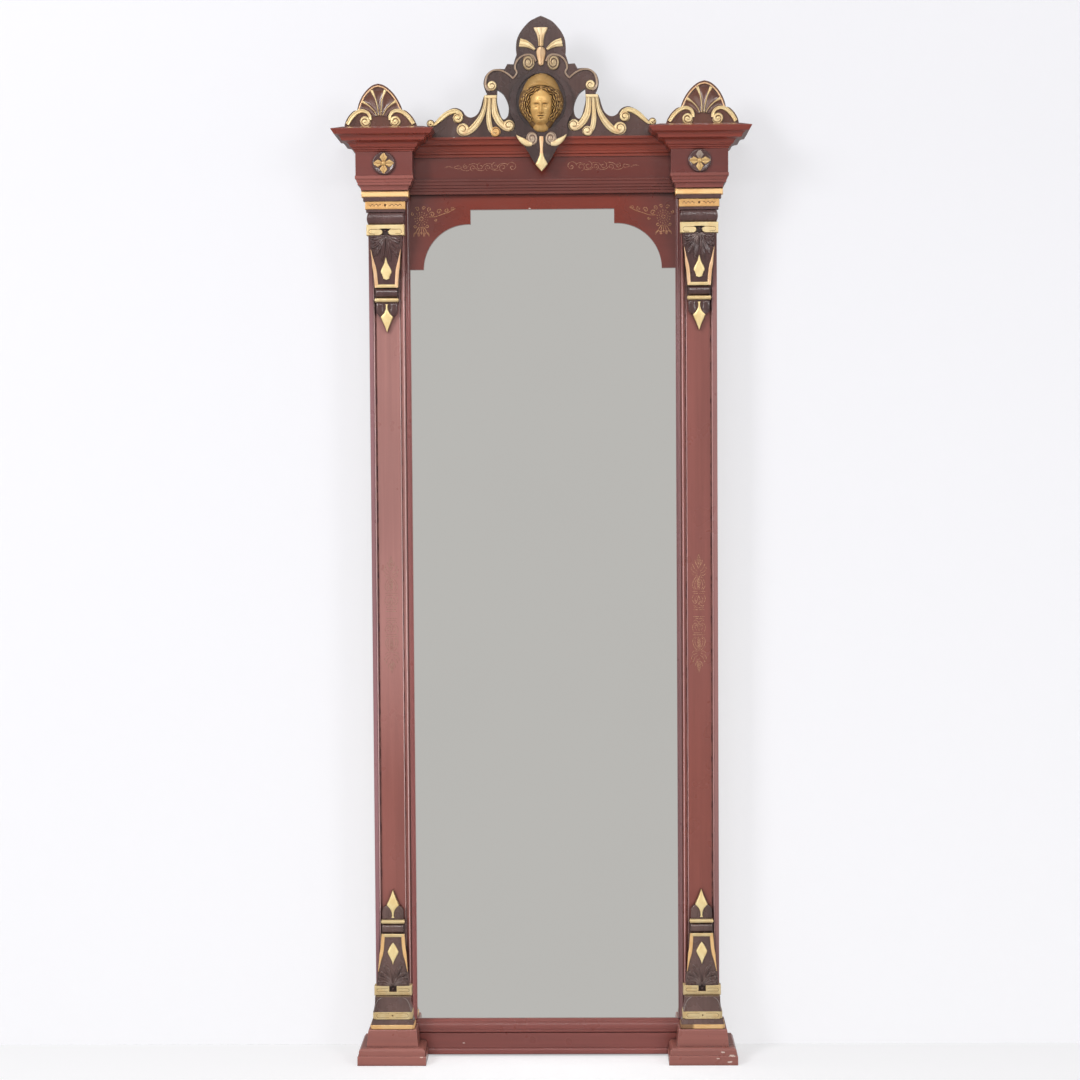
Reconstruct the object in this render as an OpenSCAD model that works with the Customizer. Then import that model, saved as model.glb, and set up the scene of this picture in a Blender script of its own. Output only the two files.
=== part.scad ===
// Tall pier mirror: a plate of silvered glass between two capped pilasters, with gilt and
// ebonised carved brackets, a moulded entablature and a carved crest that carries a mask.
// Millimetres. x runs to the right and z up, with the floor at z = 0. Depths are written as
// distances in front of the wall plane, which is the back of the frame, on the +y side.

/* [Glass and opening] */
// Width of glass that shows between the sight mouldings
sight_w = 684; // [600:1:900]
// Height of glass that shows under the middle of the spandrel board
sight_h = 2107; // [1900:1:2300]
// Thickness of the silvered glass
glass_t = 5; // [4:0.5:8]
// How far the glass runs in behind the mouldings
glass_lap = 7; // [4:0.5:9]
// Play between the edge of the glass and the frame
glass_play = 0.5; // [0.3:0.1:1]

/* [Carcass] */
// Thickness of the pine stiles and rails
carcass_t = 38; // [32:1:45]
// How far the outer face of a stile lies inside the edge of its pilaster
stile_set = 2; // [0:0.5:8]
// Thickness of the backboards
back_t = 8; // [6:1:10]
// How far the backboards lap onto the stiles and rails
back_lap = 12; // [8:1:20]
// Number of backboards across the back
back_boards_n = 3; // [2:1:5]
// Gap between neighbouring backboards
back_gap = 0.6; // [0.3:0.1:0.9]
// Thickness of the tenons on the rails
tenon_t = 12; // [8:1:16]
// Length of the tenons on the rails
tenon_l = 36; // [25:1:50]
// Play of a tenon, dowel, nail or screw in its hole
fit_play = 0.15; // [0.1:0.05:0.4]
// Length of each block that wedges the glass
wedge_l = 60; // [40:5:90]
// Radius of a nail shank
nail_r = 1.2; // [0.8:0.1:2]
// Length of a nail
nail_l = 26; // [18:1:32]

/* [Pilasters] */
// Width of a pilaster board
pilaster_w = 92; // [88:1:110]
// Thickness of a pilaster board
pilaster_t = 22; // [18:1:28]
// Width of the raised moulding on the outer edge of a pilaster
edge_w = 16; // [12:1:18]
// Height that the edge moulding stands above the pilaster board
edge_rise = 8; // [5:0.5:12]
// Width of the bead on the inner edge of a pilaster
bead_w = 10; // [6:1:12]
// Height that the inner bead stands above the pilaster board
bead_rise = 6; // [3:0.5:8]
// Width of the sight moulding beside the glass
sight_mould_w = 13; // [9:1:16]

/* [Bottom rail] */
// Space between the floor and the lower edge of the rail
rail_lift = 5; // [3:1:20]
// Height of the bead along the foot of the rail
foot_bead_h = 16; // [10:1:20]
// Height of the flat face of the rail
rail_face_h = 39; // [30:1:50]
// Height of the moulding between the rail face and the glass
rail_mould_h = 34; // [26:1:40]
// Height that the foot bead stands above the rail face
foot_bead_rise = 6; // [3:0.5:9]

/* [Entablature] */
// Thickness of the spandrel board in front of the glass
spandrel_t = 8; // [6:0.5:12]
// Height of the spandrel board above the middle of the sight
head_h = 38; // [30:1:60]
// Radius of the hollow quarter rounds of the spandrel board
spandrel_r = 116; // [90:1:125]
// Height of the step beside the hollow quarter rounds
spandrel_step = 37; // [20:1:50]
// Width of the tongue that runs down beside the sight moulding
tongue_w = 35; // [25:1:60]
// Width of the flat between the step and the quarter round
step_flat = 6; // [4:1:20]
// Height of the architrave moulding
architrave_h = 36; // [30:1:50]
// Height of the frieze
frieze_h = 57.5; // [45:0.5:70]
// Height of the cornice over the frieze
cornice_h = 48.5; // [40:0.5:60]
// How far the cornice stands out from the frieze
cornice_reach = 26; // [18:1:34]
// How far the architrave stands out from the frieze
architrave_reach = 12; // [8:1:16]

/* [Pilaster caps] */
// Width of a cap block
block_w = 145; // [136:1:160]
// Height of a cap block
block_h = 60; // [50:1:75]
// Distance from the wall to the face of a cap block
block_front = 115.5; // [108:0.5:125]
// Height of the foot of a cap block above the foot of the frieze
block_lift = 7; // [0:1:14]
// Height of the bed moulding under a cap block
bed_h = 36; // [30:1:44]
// How far the bed moulding draws in under the block
bed_draw = 12; // [8:0.5:14]
// Height of the crown moulding to its front edge
crown_h = 52; // [44:1:60]
// Height of the sloped wash on top of the crown
wash_h = 8; // [5:1:12]
// How far the crown stands out from its block
crown_reach = 56.5; // [44:0.5:60]
// Radius of the turned disc on a cap block
rosette_r = 28.5; // [22:0.5:29]
// Thickness of the turned disc
rosette_t = 7; // [4:0.5:10]
// Height of a leaf fan above the crown
fan_h = 114; // [100:1:130]
// Thickness of the board a leaf fan is sawn from
fan_t = 24; // [18:1:30]
// Distance from the wall to the back of a leaf fan
fan_back = 78; // [70:1:95]
// How far a leaf fan stands outwards of the middle of its cap
fan_shift = 8; // [0:1:8]
// How far the point of a leaf fan lies outwards of the middle of its foot
fan_lean = 6; // [0:1:10]
// Relief of the gilt carving on a leaf fan
fan_relief = 5; // [2:0.5:8]

/* [Upper brackets] */
// Half width of the gilt fillet under the bed moulding
neck_half = 60.5; // [56:0.5:64]
// Height of the gilt fillet under the bed moulding
neck_fillet_h = 16; // [10:0.5:20]
// Height of the dark fillet under it
neck_dark_h = 10; // [6:0.5:14]
// Height of the gilt panel with incised frets
neck_panel_h = 20.5; // [16:0.5:26]
// Height of the small dark fillet under the panel
neck_step_h = 7.5; // [5:0.5:10]
// Height of the dark pulvinated roll
neck_roll_h = 32; // [24:1:40]
// Height of the gilt fret band
fret_h = 27; // [20:1:32]
// Half width of the gilt fret band
fret_half = 48.5; // [46:0.5:54]
// Height of the tapered bracket below the fret band
corbel_h = 133; // [110:1:160]
// Half width of the tapered bracket at its wide end
corbel_half = 42.5; // [38:0.5:46]
// Half width of the tapered bracket at its narrow end
corbel_tip_half = 30; // [24:0.5:31]
// Depth of the tapered bracket at its wide end, from the edge moulding forwards
corbel_deep = 22; // [16:1:28]
// Depth of the tapered bracket at its narrow end
corbel_shallow = 8; // [6:1:12]
// Width of the gilt border on the tapered bracket
border_w = 10; // [6:0.5:12]
// Relief of the gilt carving on the brackets
relief = 3; // [2:0.5:4]
// Height of the small roll at the narrow end
small_roll_h = 25; // [18:1:30]
// Height of the gilt fillet beyond the small roll
small_fillet_h = 12; // [8:0.5:16]
// Height of the lobed dark leaf at the end
leaf_h = 35; // [28:1:42]
// Length of the gilt spearhead that crosses the lobed leaf
spear_l = 76; // [64:1:90]
// Half width of the gilt spearhead
spear_half = 16; // [12:0.5:20]

/* [Plinths] */
// Width of the plinth base
base_w = 177; // [170:1:190]
// Height of the plinth base
base_h = 24.5; // [18:0.5:32]
// Height of the tier above the base
tier_h = 18.5; // [12:0.5:24]
// How far the tier draws in from the base
tier_draw = 3.5; // [2:0.5:6]
// Height of the plinth die
die_h = 43.5; // [34:0.5:54]
// Width of the plinth die
die_w = 134; // [128:1:144]
// How far the sides of the die lean in towards its top
die_splay = 6; // [2:0.5:8]
// Distance from the wall to the face of the plinth base
base_front = 150; // [140:1:160]
// Size of the canted corners of the base
base_cant = 12; // [6:1:16]
// Size of the canted corners of the die
die_cant = 5; // [2:1:8]
// Half width of the gilt fillet on the die
foot_half = 57; // [54:0.5:60]
// Height of the gilt fillet on the die
foot_fillet_h = 11.5; // [8:0.5:16]
// Height of the dark fillet over it
foot_dark_h = 12.5; // [8:0.5:16]
// Height of the gilt panel with incised frets
foot_panel_h = 20; // [16:0.5:26]
// Height of the dark hollow over the panel
foot_hollow_h = 38; // [30:1:46]
// Height of the gilt fret block
foot_fret_h = 25; // [20:1:32]

/* [Crest] */
// Height of the crest board above the cornice
crest_h = 305; // [280:1:330]
// Thickness of the crest board
crest_t = 24; // [18:1:24]
// Thickness of the shield that carries the mask
shield_t = 12; // [8:1:16]
// Depth of the oval sinking behind the mask
oval_sink = 4; // [2:0.5:6]
// Relief of the gilt scrolls on the crest
scroll_relief = 6; // [3:0.5:9]
// Height of the mask from chin to crown
mask_h = 150; // [130:1:152]
// Width of the mask over the hair
mask_w = 112; // [96:1:118]
// How far the mask stands out from the shield
mask_rise = 48; // [36:1:56]
// Radius of the dowels under the crest and the leaf fans
dowel_r = 4; // [3:0.5:5]
// Length of the dowels
dowel_l = 30; // [20:2:36]

/* [Wall fixings] */
// Width of an iron wall plate
plate_w = 26; // [20:1:34]
// Thickness of an iron wall plate
plate_t = 3; // [2:0.5:4]
// Length of a wall plate above the top of the frame
plate_up = 42; // [34:1:50]
// Length of a wall plate let into the top rail
plate_down = 50; // [46:1:60]
// Radius of the hole for the wall screw
wall_hole_r = 3.25; // [2.5:0.25:4.5]
// Radius of the wood screws
screw_r = 2; // [1.5:0.25:2.5]
// Length of the wood screws
screw_l = 24; // [16:1:30]

/* [Hidden] */

wood = "#7d3c35";
dark_wood = "#3f2d31";
gilt = "#dcb36a";
mask_gilt = "#b98a2e";
pine = "#c8a678";
iron = "#4d4a48";
silvered = "#b7b8b2";

eps = 1;                      // spare length of a cutter past the face it cuts
round_steps = 8;              // steps along a moulded quarter round
curve_steps = 6;              // steps between two points of a drawn curve

// Distances from the wall to the faces of the layers
face_w = carcass_t + pilaster_t;          // pilaster board, rail face and frieze
strip_w = face_w + edge_rise;             // edge moulding, which the brackets sit on
block_reach = block_front + crown_reach;  // front edge of the crown
wall_y = block_reach / 2;                 // y of the wall plane

// Distances from the middle plane
sight_half = sight_w / 2;
pilaster_in = sight_half + sight_mould_w;
pilaster_out = pilaster_in + pilaster_w;
axis = pilaster_in + pilaster_w / 2;
glass_half = sight_half + glass_lap;
stile_in = glass_half + glass_play;
stile_out = pilaster_out - stile_set;

// Heights above the floor
face_z = rail_lift + foot_bead_h;
mould_z = face_z + rail_face_h;
sight_z = mould_z + rail_mould_h;
sight_top = sight_z + sight_h;
architrave_z = sight_top + head_h;
frieze_z = architrave_z + architrave_h;
cornice_z = frieze_z + frieze_h;
cornice_top = cornice_z + cornice_h;
block_z = frieze_z + block_lift;
bed_z = block_z - bed_h;
crown_z = block_z + block_h;
crown_top = crown_z + crown_h + wash_h;
die_z = base_h + tier_h;
die_top = die_z + die_h;
glass_z = sight_z - glass_lap;
glass_top = architrave_z - glass_lap;

// Spandrel board
arc_x = sight_half - tongue_w - spandrel_r;   // centre of a hollow quarter round
shoulder_x = arc_x - step_flat;
tongue_z = sight_top - spandrel_step - spandrel_r;

// Rebate for the backboards, and the tenons of the rails
back_foot = glass_z - back_lap;
back_top = glass_top + back_lap;
rebate_t = back_t + 1;                        // depth of the rebate
tenon_h = 56;                                 // height of a tenon
tenon_back = (carcass_t - tenon_t) / 2 + 4;   // distance from the wall to the back of a tenon
bottom_tenon_z = rail_lift + 8;
top_tenon_z = back_top + 34;

// Nails of the backboards, and the iron wall plates
nail_head_t = 0.8;                            // thickness of a nail head
nail_head_r = 2.2 * nail_r;                   // radius of a nail head
board_pitch = 2 * (stile_in + back_lap) / back_boards_n;
nail_x = [for (i = [0:back_boards_n - 1]) for (s = [-1, 1])
    -stile_in - back_lap + board_pitch * (i + 0.5) + s * board_pitch * 0.3];
nail_z = [glass_z - back_lap / 2 - 0.5, glass_top + back_lap / 2 + 0.5];
plate_x = 215;                                // distance from the middle to a wall plate
plate_screw_z = [cornice_top - plate_down + 12, cornice_top - 14];

// Crest layers
crest_front = face_w + cornice_reach;
crest_back = crest_front - crest_t;
shield_front = crest_front + shield_t;
gilt_front = crest_front + scroll_relief;
sink_w = shield_front - oval_sink;

// ---------- drawing helpers ----------

// Slab drawn in front view (x, z), between two distances from the wall
module slab(back, front)
    translate([0, wall_y - back, 0]) rotate([90, 0, 0]) linear_extrude(front - back) children();

// Bar along x, drawn in section as (distance from the wall, z)
module run_x(x0, x1)
    translate([x0, wall_y, 0]) mirror([0, 1, 0]) rotate([90, 0, 90])
        linear_extrude(x1 - x0) children();

// Upright bar, drawn in plan as (x, distance from the wall)
module run_z(z0, z1)
    translate([0, wall_y, z0]) mirror([0, 1, 0]) linear_extrude(z1 - z0) children();

// Plain box between two corners written as (x, distance from the wall, z)
module brick(a, b)
    translate([min(a.x, b.x), wall_y - max(a.y, b.y), min(a.z, b.z)])
        cube([abs(b.x - a.x), abs(b.y - a.y), abs(b.z - a.z)]);

// Round rod that points away from the wall
module peg(x, z, back, front, r)
    translate([x, wall_y - back, z]) rotate([90, 0, 0]) cylinder(h = front - back, r = r, $fn = 24);

// Puts a piece drawn for the right-hand side on the side that is asked for
module on_side(side) if (side > 0) children(); else mirror([1, 0, 0]) children();

// Draws children on both sides of the middle plane
module both() for (side = [-1, 1]) on_side(side) children();

// Quarter round from p to q that leaves p upright; swap p and q for one that leaves it level
function quarter(p, q) = [for (i = [0:round_steps]) let (a = 90 * i / round_steps)
    [p.x + (q.x - p.x) * (1 - cos(a)), p.y + (q.y - p.y) * sin(a)]];

// Points of the list in the other order
function backwards(list) = [for (i = [len(list) - 1:-1:0]) list[i]];

// Curve through the points of an open list
function curve(p, steps = curve_steps) = concat([for (i = [0:len(p) - 2]) for (k = [0:steps - 1])
    let (a = p[max(i - 1, 0)], b = p[i], c = p[i + 1], d = p[min(i + 2, len(p) - 1)], t = k / steps)
    0.5 * ((2 * b) + (c - a) * t + (2 * a - 5 * b + 4 * c - d) * t * t
        + (3 * b - a - 3 * c + d) * t * t * t)], [p[len(p) - 1]]);

// Direction along a list of points at its place i
function along(p, i) = let (v = p[min(i + 1, len(p) - 1)] - p[max(i - 1, 0)]) v / norm(v);

// Outline of a ribbon that follows a list of points, from half width h0 to half width h1
function ribbon(p, h0, h1) = let (n = len(p) - 1) concat(
    [for (i = [0:n]) let (v = along(p, i), h = h0 + (h1 - h0) * i / n) p[i] + h * [-v.y, v.x]],
    [for (i = [n:-1:0]) let (v = along(p, i), h = h0 + (h1 - h0) * i / n) p[i] - h * [-v.y, v.x]]);

// Oval outline
function oval(c, rx, rz, n = 40) = [for (i = [0:n - 1]) let (a = 360 * i / n)
    [c.x + rx * cos(a), c.y + rz * sin(a)]];

// Outline and its mirror image as one closed list, for a half drawn from top to bottom
function whole(half) = concat(half, [for (p = backwards(half)) if (p.x > 0) [-p.x, p.y]]);

// Block that returns round both sides, with mitred corners. The profile is a list of
// (reach past the block, z) from the bottom up. Corners may be canted, by a cut at the foot
// and another at the head, which it nears as the square of the way up.
module mitred(profile, half, back, front, cut = 0, head_cut = 0) {
    low = profile[0].y;
    high = profile[len(profile) - 1].y;
    reach = max([for (p = profile) p.x]) + eps;
    span = half + front + 2 * reach;
    intersection() {
        slab(back, front + reach) polygon(concat([for (p = profile) [half + p.x, p.y]],
            [for (p = backwards(profile)) [-half - p.x, p.y]]));
        run_x(-half - reach, half + reach)
            polygon(concat([[back, low]], [for (p = profile) [front + p.x, p.y]], [[back, high]]));
        if (cut > 0)
            for (turn = [-45, -135])
                translate([0, wall_y, 0]) rotate([0, 0, turn]) rotate([90, 0, 0])
                    translate([0, 0, -span]) linear_extrude(2 * span)
                        polygon(concat([[-span, low]], [for (p = profile)
                            let (t = (p.y - low) / (high - low),
                                c = cut + (max(head_cut, cut) - cut) * t * t)
                            [(half + front + 2 * p.x - c) / sqrt(2), p.y]], [[-span, high]]));
    }
}

// Room that the pilaster fills inside a cap or a plinth, drawn for the right-hand side
module pilaster_room(z0, z1)
    brick([pilaster_in, -eps, z0 - eps], [pilaster_out, strip_w, z1 + eps]);

// ---------- sections of the mouldings ----------

// Rail moulding, drawn as (distance from the wall, z)
rail_section = concat([[carcass_t, mould_z], [face_w - 3, mould_z], [face_w - 1, mould_z + 3],
    [face_w - 1, mould_z + 7]], quarter([face_w - 4, mould_z + 8], [face_w - 12, sight_z - 8]),
    [[face_w - 13, sight_z - 5], [carcass_t + 4, sight_z - 1], [carcass_t + 3, sight_z],
    [carcass_t, sight_z]]);

// Foot bead of the rail
bead_rebate = 8;                           // depth to which the foot bead is let into the rail
foot_section = concat([[face_w - bead_rebate, rail_lift], [face_w + foot_bead_rise - 2, rail_lift]],
    quarter([face_w + foot_bead_rise, rail_lift + 2], [face_w, face_z]), [[face_w - bead_rebate, face_z]]);

// Architrave: five fillets that step out upwards, as shares of its reach and of its height
architrave_steps = [[0.25, 0, 0.19], [0.42, 0.22, 0.39], [0.66, 0.42, 0.59], [0.84, 0.62, 0.84],
    [1, 0.87, 1]];
architrave_section = concat([[carcass_t, architrave_z]], [for (s = architrave_steps)
    each [[face_w + architrave_reach * s[0], architrave_z + architrave_h * s[1]],
        [face_w + architrave_reach * s[0], architrave_z + architrave_h * s[2]]]],
    [[carcass_t, frieze_z]]);

// Cornice: two fillets, a hollow and a leaning crown
cornice_section = concat([[carcass_t, cornice_z], [face_w + 3, cornice_z],
    [face_w + 3, cornice_z + 6.5], [face_w + 7, cornice_z + 8], [face_w + 7, cornice_z + 13]],
    quarter([face_w + 9, cornice_z + 15], [face_w + cornice_reach - 8, cornice_z + 29]),
    [[face_w + cornice_reach - 6, cornice_z + 31]],
    quarter([face_w + cornice_reach - 6, cornice_z + 33], [crest_front, cornice_top - 6]),
    [[crest_front, cornice_top], [carcass_t, cornice_top]]);

// Everything between the caps, as one outline that the caps are scribed round
entablature_outline = concat([[-eps, architrave_z]],
    [for (i = [1:len(architrave_section) - 2]) architrave_section[i]],
    [[face_w, frieze_z], [face_w, cornice_z]],
    [for (i = [1:len(cornice_section) - 2]) cornice_section[i]],
    [[crest_front + fit_play, cornice_top], [crest_front + fit_play, crown_top + eps],
    [-eps, crown_top + eps]]);

// Bed moulding under a cap block, as (reach, z)
bed_profile = concat([[-bed_draw, bed_z]],
    quarter([-bed_draw, bed_z + 2], [-bed_draw / 2, bed_z + 12]),
    [[-bed_draw / 2 + 1.5, bed_z + 13], [-bed_draw / 2 + 1.5, bed_z + 18],
    [-2.5, bed_z + 20], [-1.5, bed_z + 26], [1.5, bed_z + 28], [1.5, block_z]]);

// Crown over a cap block: bead, fillet, hollow, cyma and leaning fascia, then the wash
crown_edge = crown_z + crown_h;
crown_profile = concat([[1, crown_z], [3, crown_z + 2], [3, crown_z + 4], [7, crown_z + 5.5],
    [7, crown_z + 8.5], [11, crown_z + 10], [11, crown_z + 12]],
    quarter([13, crown_z + 12.5], [crown_reach - 28, crown_z + 24]),
    [[crown_reach - 25, crown_z + 25]],
    quarter([crown_reach - 24, crown_z + 26], [crown_reach - 8, crown_edge - 13]),
    [[crown_reach - 7, crown_edge - 12], [crown_reach, crown_edge - 1], [crown_reach, crown_edge],
    [crown_reach - 28, crown_top]]);

// ---------- carcass ----------

// Mortised and rebated pine stile, with the screw and nail holes left to the rails
module stile(side) color(pine) on_side(side) difference() {
    brick([stile_in, 0, 0], [stile_out, carcass_t, crown_z]);
    brick([stile_in - eps, -eps, back_foot], [stile_in + back_lap, rebate_t, back_top]);
    for (z = [bottom_tenon_z, top_tenon_z])
        brick([stile_in - eps, tenon_back - fit_play, z - fit_play],
            [stile_in + tenon_l + fit_play, tenon_back + tenon_t + fit_play,
            z + tenon_h + fit_play]);
}

module top_rail() color(pine) difference() {
    union() {
        brick([-stile_in, 0, glass_top + glass_play], [stile_in, carcass_t, cornice_top]);
        both() brick([stile_in - eps, tenon_back, top_tenon_z],
            [stile_in + tenon_l, tenon_back + tenon_t, top_tenon_z + tenon_h]);
    }
    brick([-stile_in - eps, -eps, glass_top - eps], [stile_in + eps, rebate_t, back_top]);
    both() brick([plate_x - plate_w / 2 - fit_play, -eps, cornice_top - plate_down - fit_play],
        [plate_x + plate_w / 2 + fit_play, plate_t, cornice_top + eps]);
    both() for (z = plate_screw_z)
        peg(plate_x, z, plate_t - eps, screw_l + fit_play, screw_r + fit_play);
    for (x = nail_x) peg(x, nail_z[1], 0, nail_l + fit_play, nail_r + fit_play);
}

module bottom_rail() color(pine) difference() {
    union() {
        brick([-stile_in, 0, rail_lift], [stile_in, carcass_t, glass_z - glass_play]);
        both() brick([stile_in - eps, tenon_back, bottom_tenon_z],
            [stile_in + tenon_l, tenon_back + tenon_t, bottom_tenon_z + tenon_h]);
    }
    brick([-stile_in - eps, -eps, back_foot], [stile_in + eps, rebate_t, glass_z + eps]);
    for (x = nail_x) peg(x, nail_z[0], 0, nail_l + fit_play, nail_r + fit_play);
}

module back_boards() color(pine) difference() {
    for (i = [0:back_boards_n - 1])
        brick([-stile_in - back_lap + board_pitch * i + back_gap / 2, 1, back_foot + back_gap / 2],
            [-stile_in - back_lap + board_pitch * (i + 1) - back_gap / 2, rebate_t,
            back_top - back_gap / 2]);
    for (x = nail_x) for (z = nail_z) peg(x, z, 0, back_t + 2, nail_r + fit_play);
}

module back_nails() color(iron) for (x = nail_x) for (z = nail_z) {
    peg(x, z, 1 - nail_head_t, 1, nail_head_r);
    peg(x, z, 1 - nail_head_t, nail_l, nail_r);
}

// Small pine blocks glued behind the edge of the glass
wedge_w = 9;                               // width of a block beside the stile
wedge_t = 13;                              // thickness of a block behind the glass
wedge_places = 4;                          // blocks along each side
module glass_wedges() color(pine) {
    back = carcass_t - glass_t - wedge_t;
    front = carcass_t - glass_t;
    step = (glass_top - glass_z - 2 * wedge_l) / (wedge_places - 1);
    both() for (i = [0:wedge_places - 1])
        brick([stile_in - wedge_w, back, glass_z + wedge_l / 2 + step * i],
            [stile_in, front, glass_z + wedge_l * 1.5 + step * i]);
    for (s = [-1, 1]) {
        brick([s * sight_half / 2 - wedge_l / 2, back, glass_z - glass_play],
            [s * sight_half / 2 + wedge_l / 2, front, glass_z + wedge_w]);
        brick([s * sight_half / 2 - wedge_l / 2, back, glass_top - wedge_w],
            [s * sight_half / 2 + wedge_l / 2, front, glass_top + glass_play]);
    }
}

module mirror_glass() color(silvered)
    brick([-glass_half, carcass_t - glass_t, glass_z], [glass_half, carcass_t, glass_top]);

// ---------- pilasters ----------

module pilaster_board(side) color(wood) on_side(side)
    brick([pilaster_in, carcass_t, 0], [pilaster_out, face_w, crown_z]);

// Flat raised strip with a hollow down to the panel
module edge_moulding(side) color(wood) on_side(side) run_z(0, crown_z)
    polygon(concat([[pilaster_out, face_w], [pilaster_out, strip_w - 1], [pilaster_out - 1, strip_w],
        [pilaster_out - edge_w + 6, strip_w], [pilaster_out - edge_w + 5, strip_w - 1]],
        quarter([pilaster_out - edge_w + 5, strip_w - 3], [pilaster_out - edge_w, face_w])));

// Half-round bead with a fillet beside the panel
module panel_bead(side) color(wood) on_side(side) run_z(0, crown_z)
    polygon(concat([[pilaster_in, face_w]],
        quarter([pilaster_in, face_w + 1], [pilaster_in + bead_w / 2, face_w + bead_rise]),
        [for (p = backwards(quarter([pilaster_in + bead_w - 2, face_w + 2],
            [pilaster_in + bead_w / 2, face_w + bead_rise]))) p],
        [[pilaster_in + bead_w, face_w + 2], [pilaster_in + bead_w, face_w]]));

// Sight moulding that slopes in to the glass
module sight_moulding(side) color(wood) on_side(side) run_z(sight_z, architrave_z)
    polygon(concat([[pilaster_in, carcass_t], [pilaster_in, face_w - 1], [pilaster_in - 3, face_w - 1]],
        quarter([pilaster_in - 4, face_w - 3], [sight_half + 3, carcass_t + spandrel_t + 2]),
        [[sight_half + 2, carcass_t + spandrel_t], [sight_half, carcass_t + spandrel_t],
        [sight_half, carcass_t]]));

// ---------- bottom rail ----------

module rail_face() color(wood) run_x(-pilaster_in, pilaster_in)
    polygon([[carcass_t, rail_lift], [face_w - bead_rebate, rail_lift],
        [face_w - bead_rebate, face_z], [face_w, face_z], [face_w, mould_z], [carcass_t, mould_z]]);

module rail_moulding() color(wood) run_x(-pilaster_in, pilaster_in) polygon(rail_section);

foot_end = axis - base_w / 2;              // where the foot bead meets the plinths
module foot_bead() color(wood) run_x(-foot_end, foot_end) polygon(foot_section);

// ---------- entablature ----------

// Board with stepped shoulders and hollow quarter rounds
module spandrel_board() color(wood) slab(carcass_t, carcass_t + spandrel_t) difference() {
    translate([-sight_half, tongue_z]) square([sight_w, architrave_z - tongue_z]);
    translate([-shoulder_x, tongue_z - eps])
        square([2 * shoulder_x, sight_top - tongue_z + eps]);
    for (s = [-1, 1]) {
        translate([s * arc_x, tongue_z]) circle(r = spandrel_r, $fn = 96);
        translate([min(s * arc_x, s * shoulder_x) - eps, tongue_z - eps])
            square([abs(arc_x - shoulder_x) + 2 * eps, spandrel_r + eps]);
    }
}

module architrave() color(wood) run_x(-pilaster_in, pilaster_in) polygon(architrave_section);

module frieze() color(wood)
    brick([-pilaster_in, carcass_t, frieze_z], [pilaster_in, face_w, cornice_z]);

module cornice() color(wood) difference() {
    run_x(-pilaster_in, pilaster_in) polygon(cornice_section);
    crest_dowel_holes();
}

// ---------- pilaster caps ----------

// Piece of a cap that fits over the pilaster and against the entablature
module scribed(side, z0, z1) on_side(side) difference() {
    translate([axis, 0, 0]) children();
    pilaster_room(z0, z1);
    run_x(0, pilaster_in + eps) polygon(entablature_outline);
}

module bed_moulding(side) color(wood) scribed(side, bed_z, block_z)
    mitred(bed_profile, block_w / 2, 0, block_front);

module cap_block(side) color(wood) scribed(side, block_z, crown_z)
    mitred([[0, block_z], [0, crown_z]], block_w / 2, 0, block_front);

module cap_crown(side) color(wood) difference() {
    on_side(side) difference() {
        translate([axis, 0, 0]) mitred(crown_profile, block_w / 2, 0, block_front);
        run_x(0, pilaster_in + eps) polygon(entablature_outline);
    }
    fan_dowel_holes();
}

rosette_z = block_z + block_h / 2;
module rosette_disc(side) color(dark_wood)
    peg(side * axis, rosette_z, block_front, block_front + rosette_t, rosette_r);

// Four pointed petals round a boss
petal_half = 10.5;                         // half width of a petal
boss_r = 6;                                // radius of the boss
module rosette_flower(side) color(gilt) {
    front = block_front + rosette_t;
    slab(front, front + relief) translate([side * axis, rosette_z]) for (a = [0:90:270])
        rotate(a) polygon([[boss_r - 1, 3], [rosette_r * 0.58, petal_half], [rosette_r - 1.5, 0],
            [rosette_r * 0.58, -petal_half], [boss_r - 1, -3]]);
    peg(side * axis, rosette_z, front, front + relief + 2, boss_r);
}

// ---------- leaf fans on the caps ----------

fan_x = axis + fan_shift;
fan_front = fan_back + fan_t;
fan_foot = 92.5;                           // half width of a leaf fan at its foot
fan_arch = 58;                             // half width of its arch
fan_spring = 44;                           // height at which the arch springs
// Half outline of a leaf fan, from its point down to the crown, z from the top of the crown
fan_half = concat(curve([[0, fan_h], [13, fan_h - 3.5], [25, fan_h - 11.5], [35.5, fan_h - 22],
    [43.5, fan_h - 33], [50, fan_h - 45], [54.5, fan_h - 56.5], [fan_arch, fan_spring]]),
    curve([[61, 47], [69, 43.5], [80.5, 32], [88.5, 19], [92, 8], [fan_foot, 0]]));

// Points on the side that is asked for, pushed outwards as they rise, as the fan leans
function leant(list, s = 1) = [for (p = list) [s * p.x + fan_lean * p.y / fan_h, p.y]];

module leaf_fan(side) color(dark_wood) difference() {
    on_side(side) translate([fan_x, 0, crown_top]) slab(fan_back, fan_front)
        polygon(leant(whole(fan_half)));
    fan_dowel_holes();
}

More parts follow.
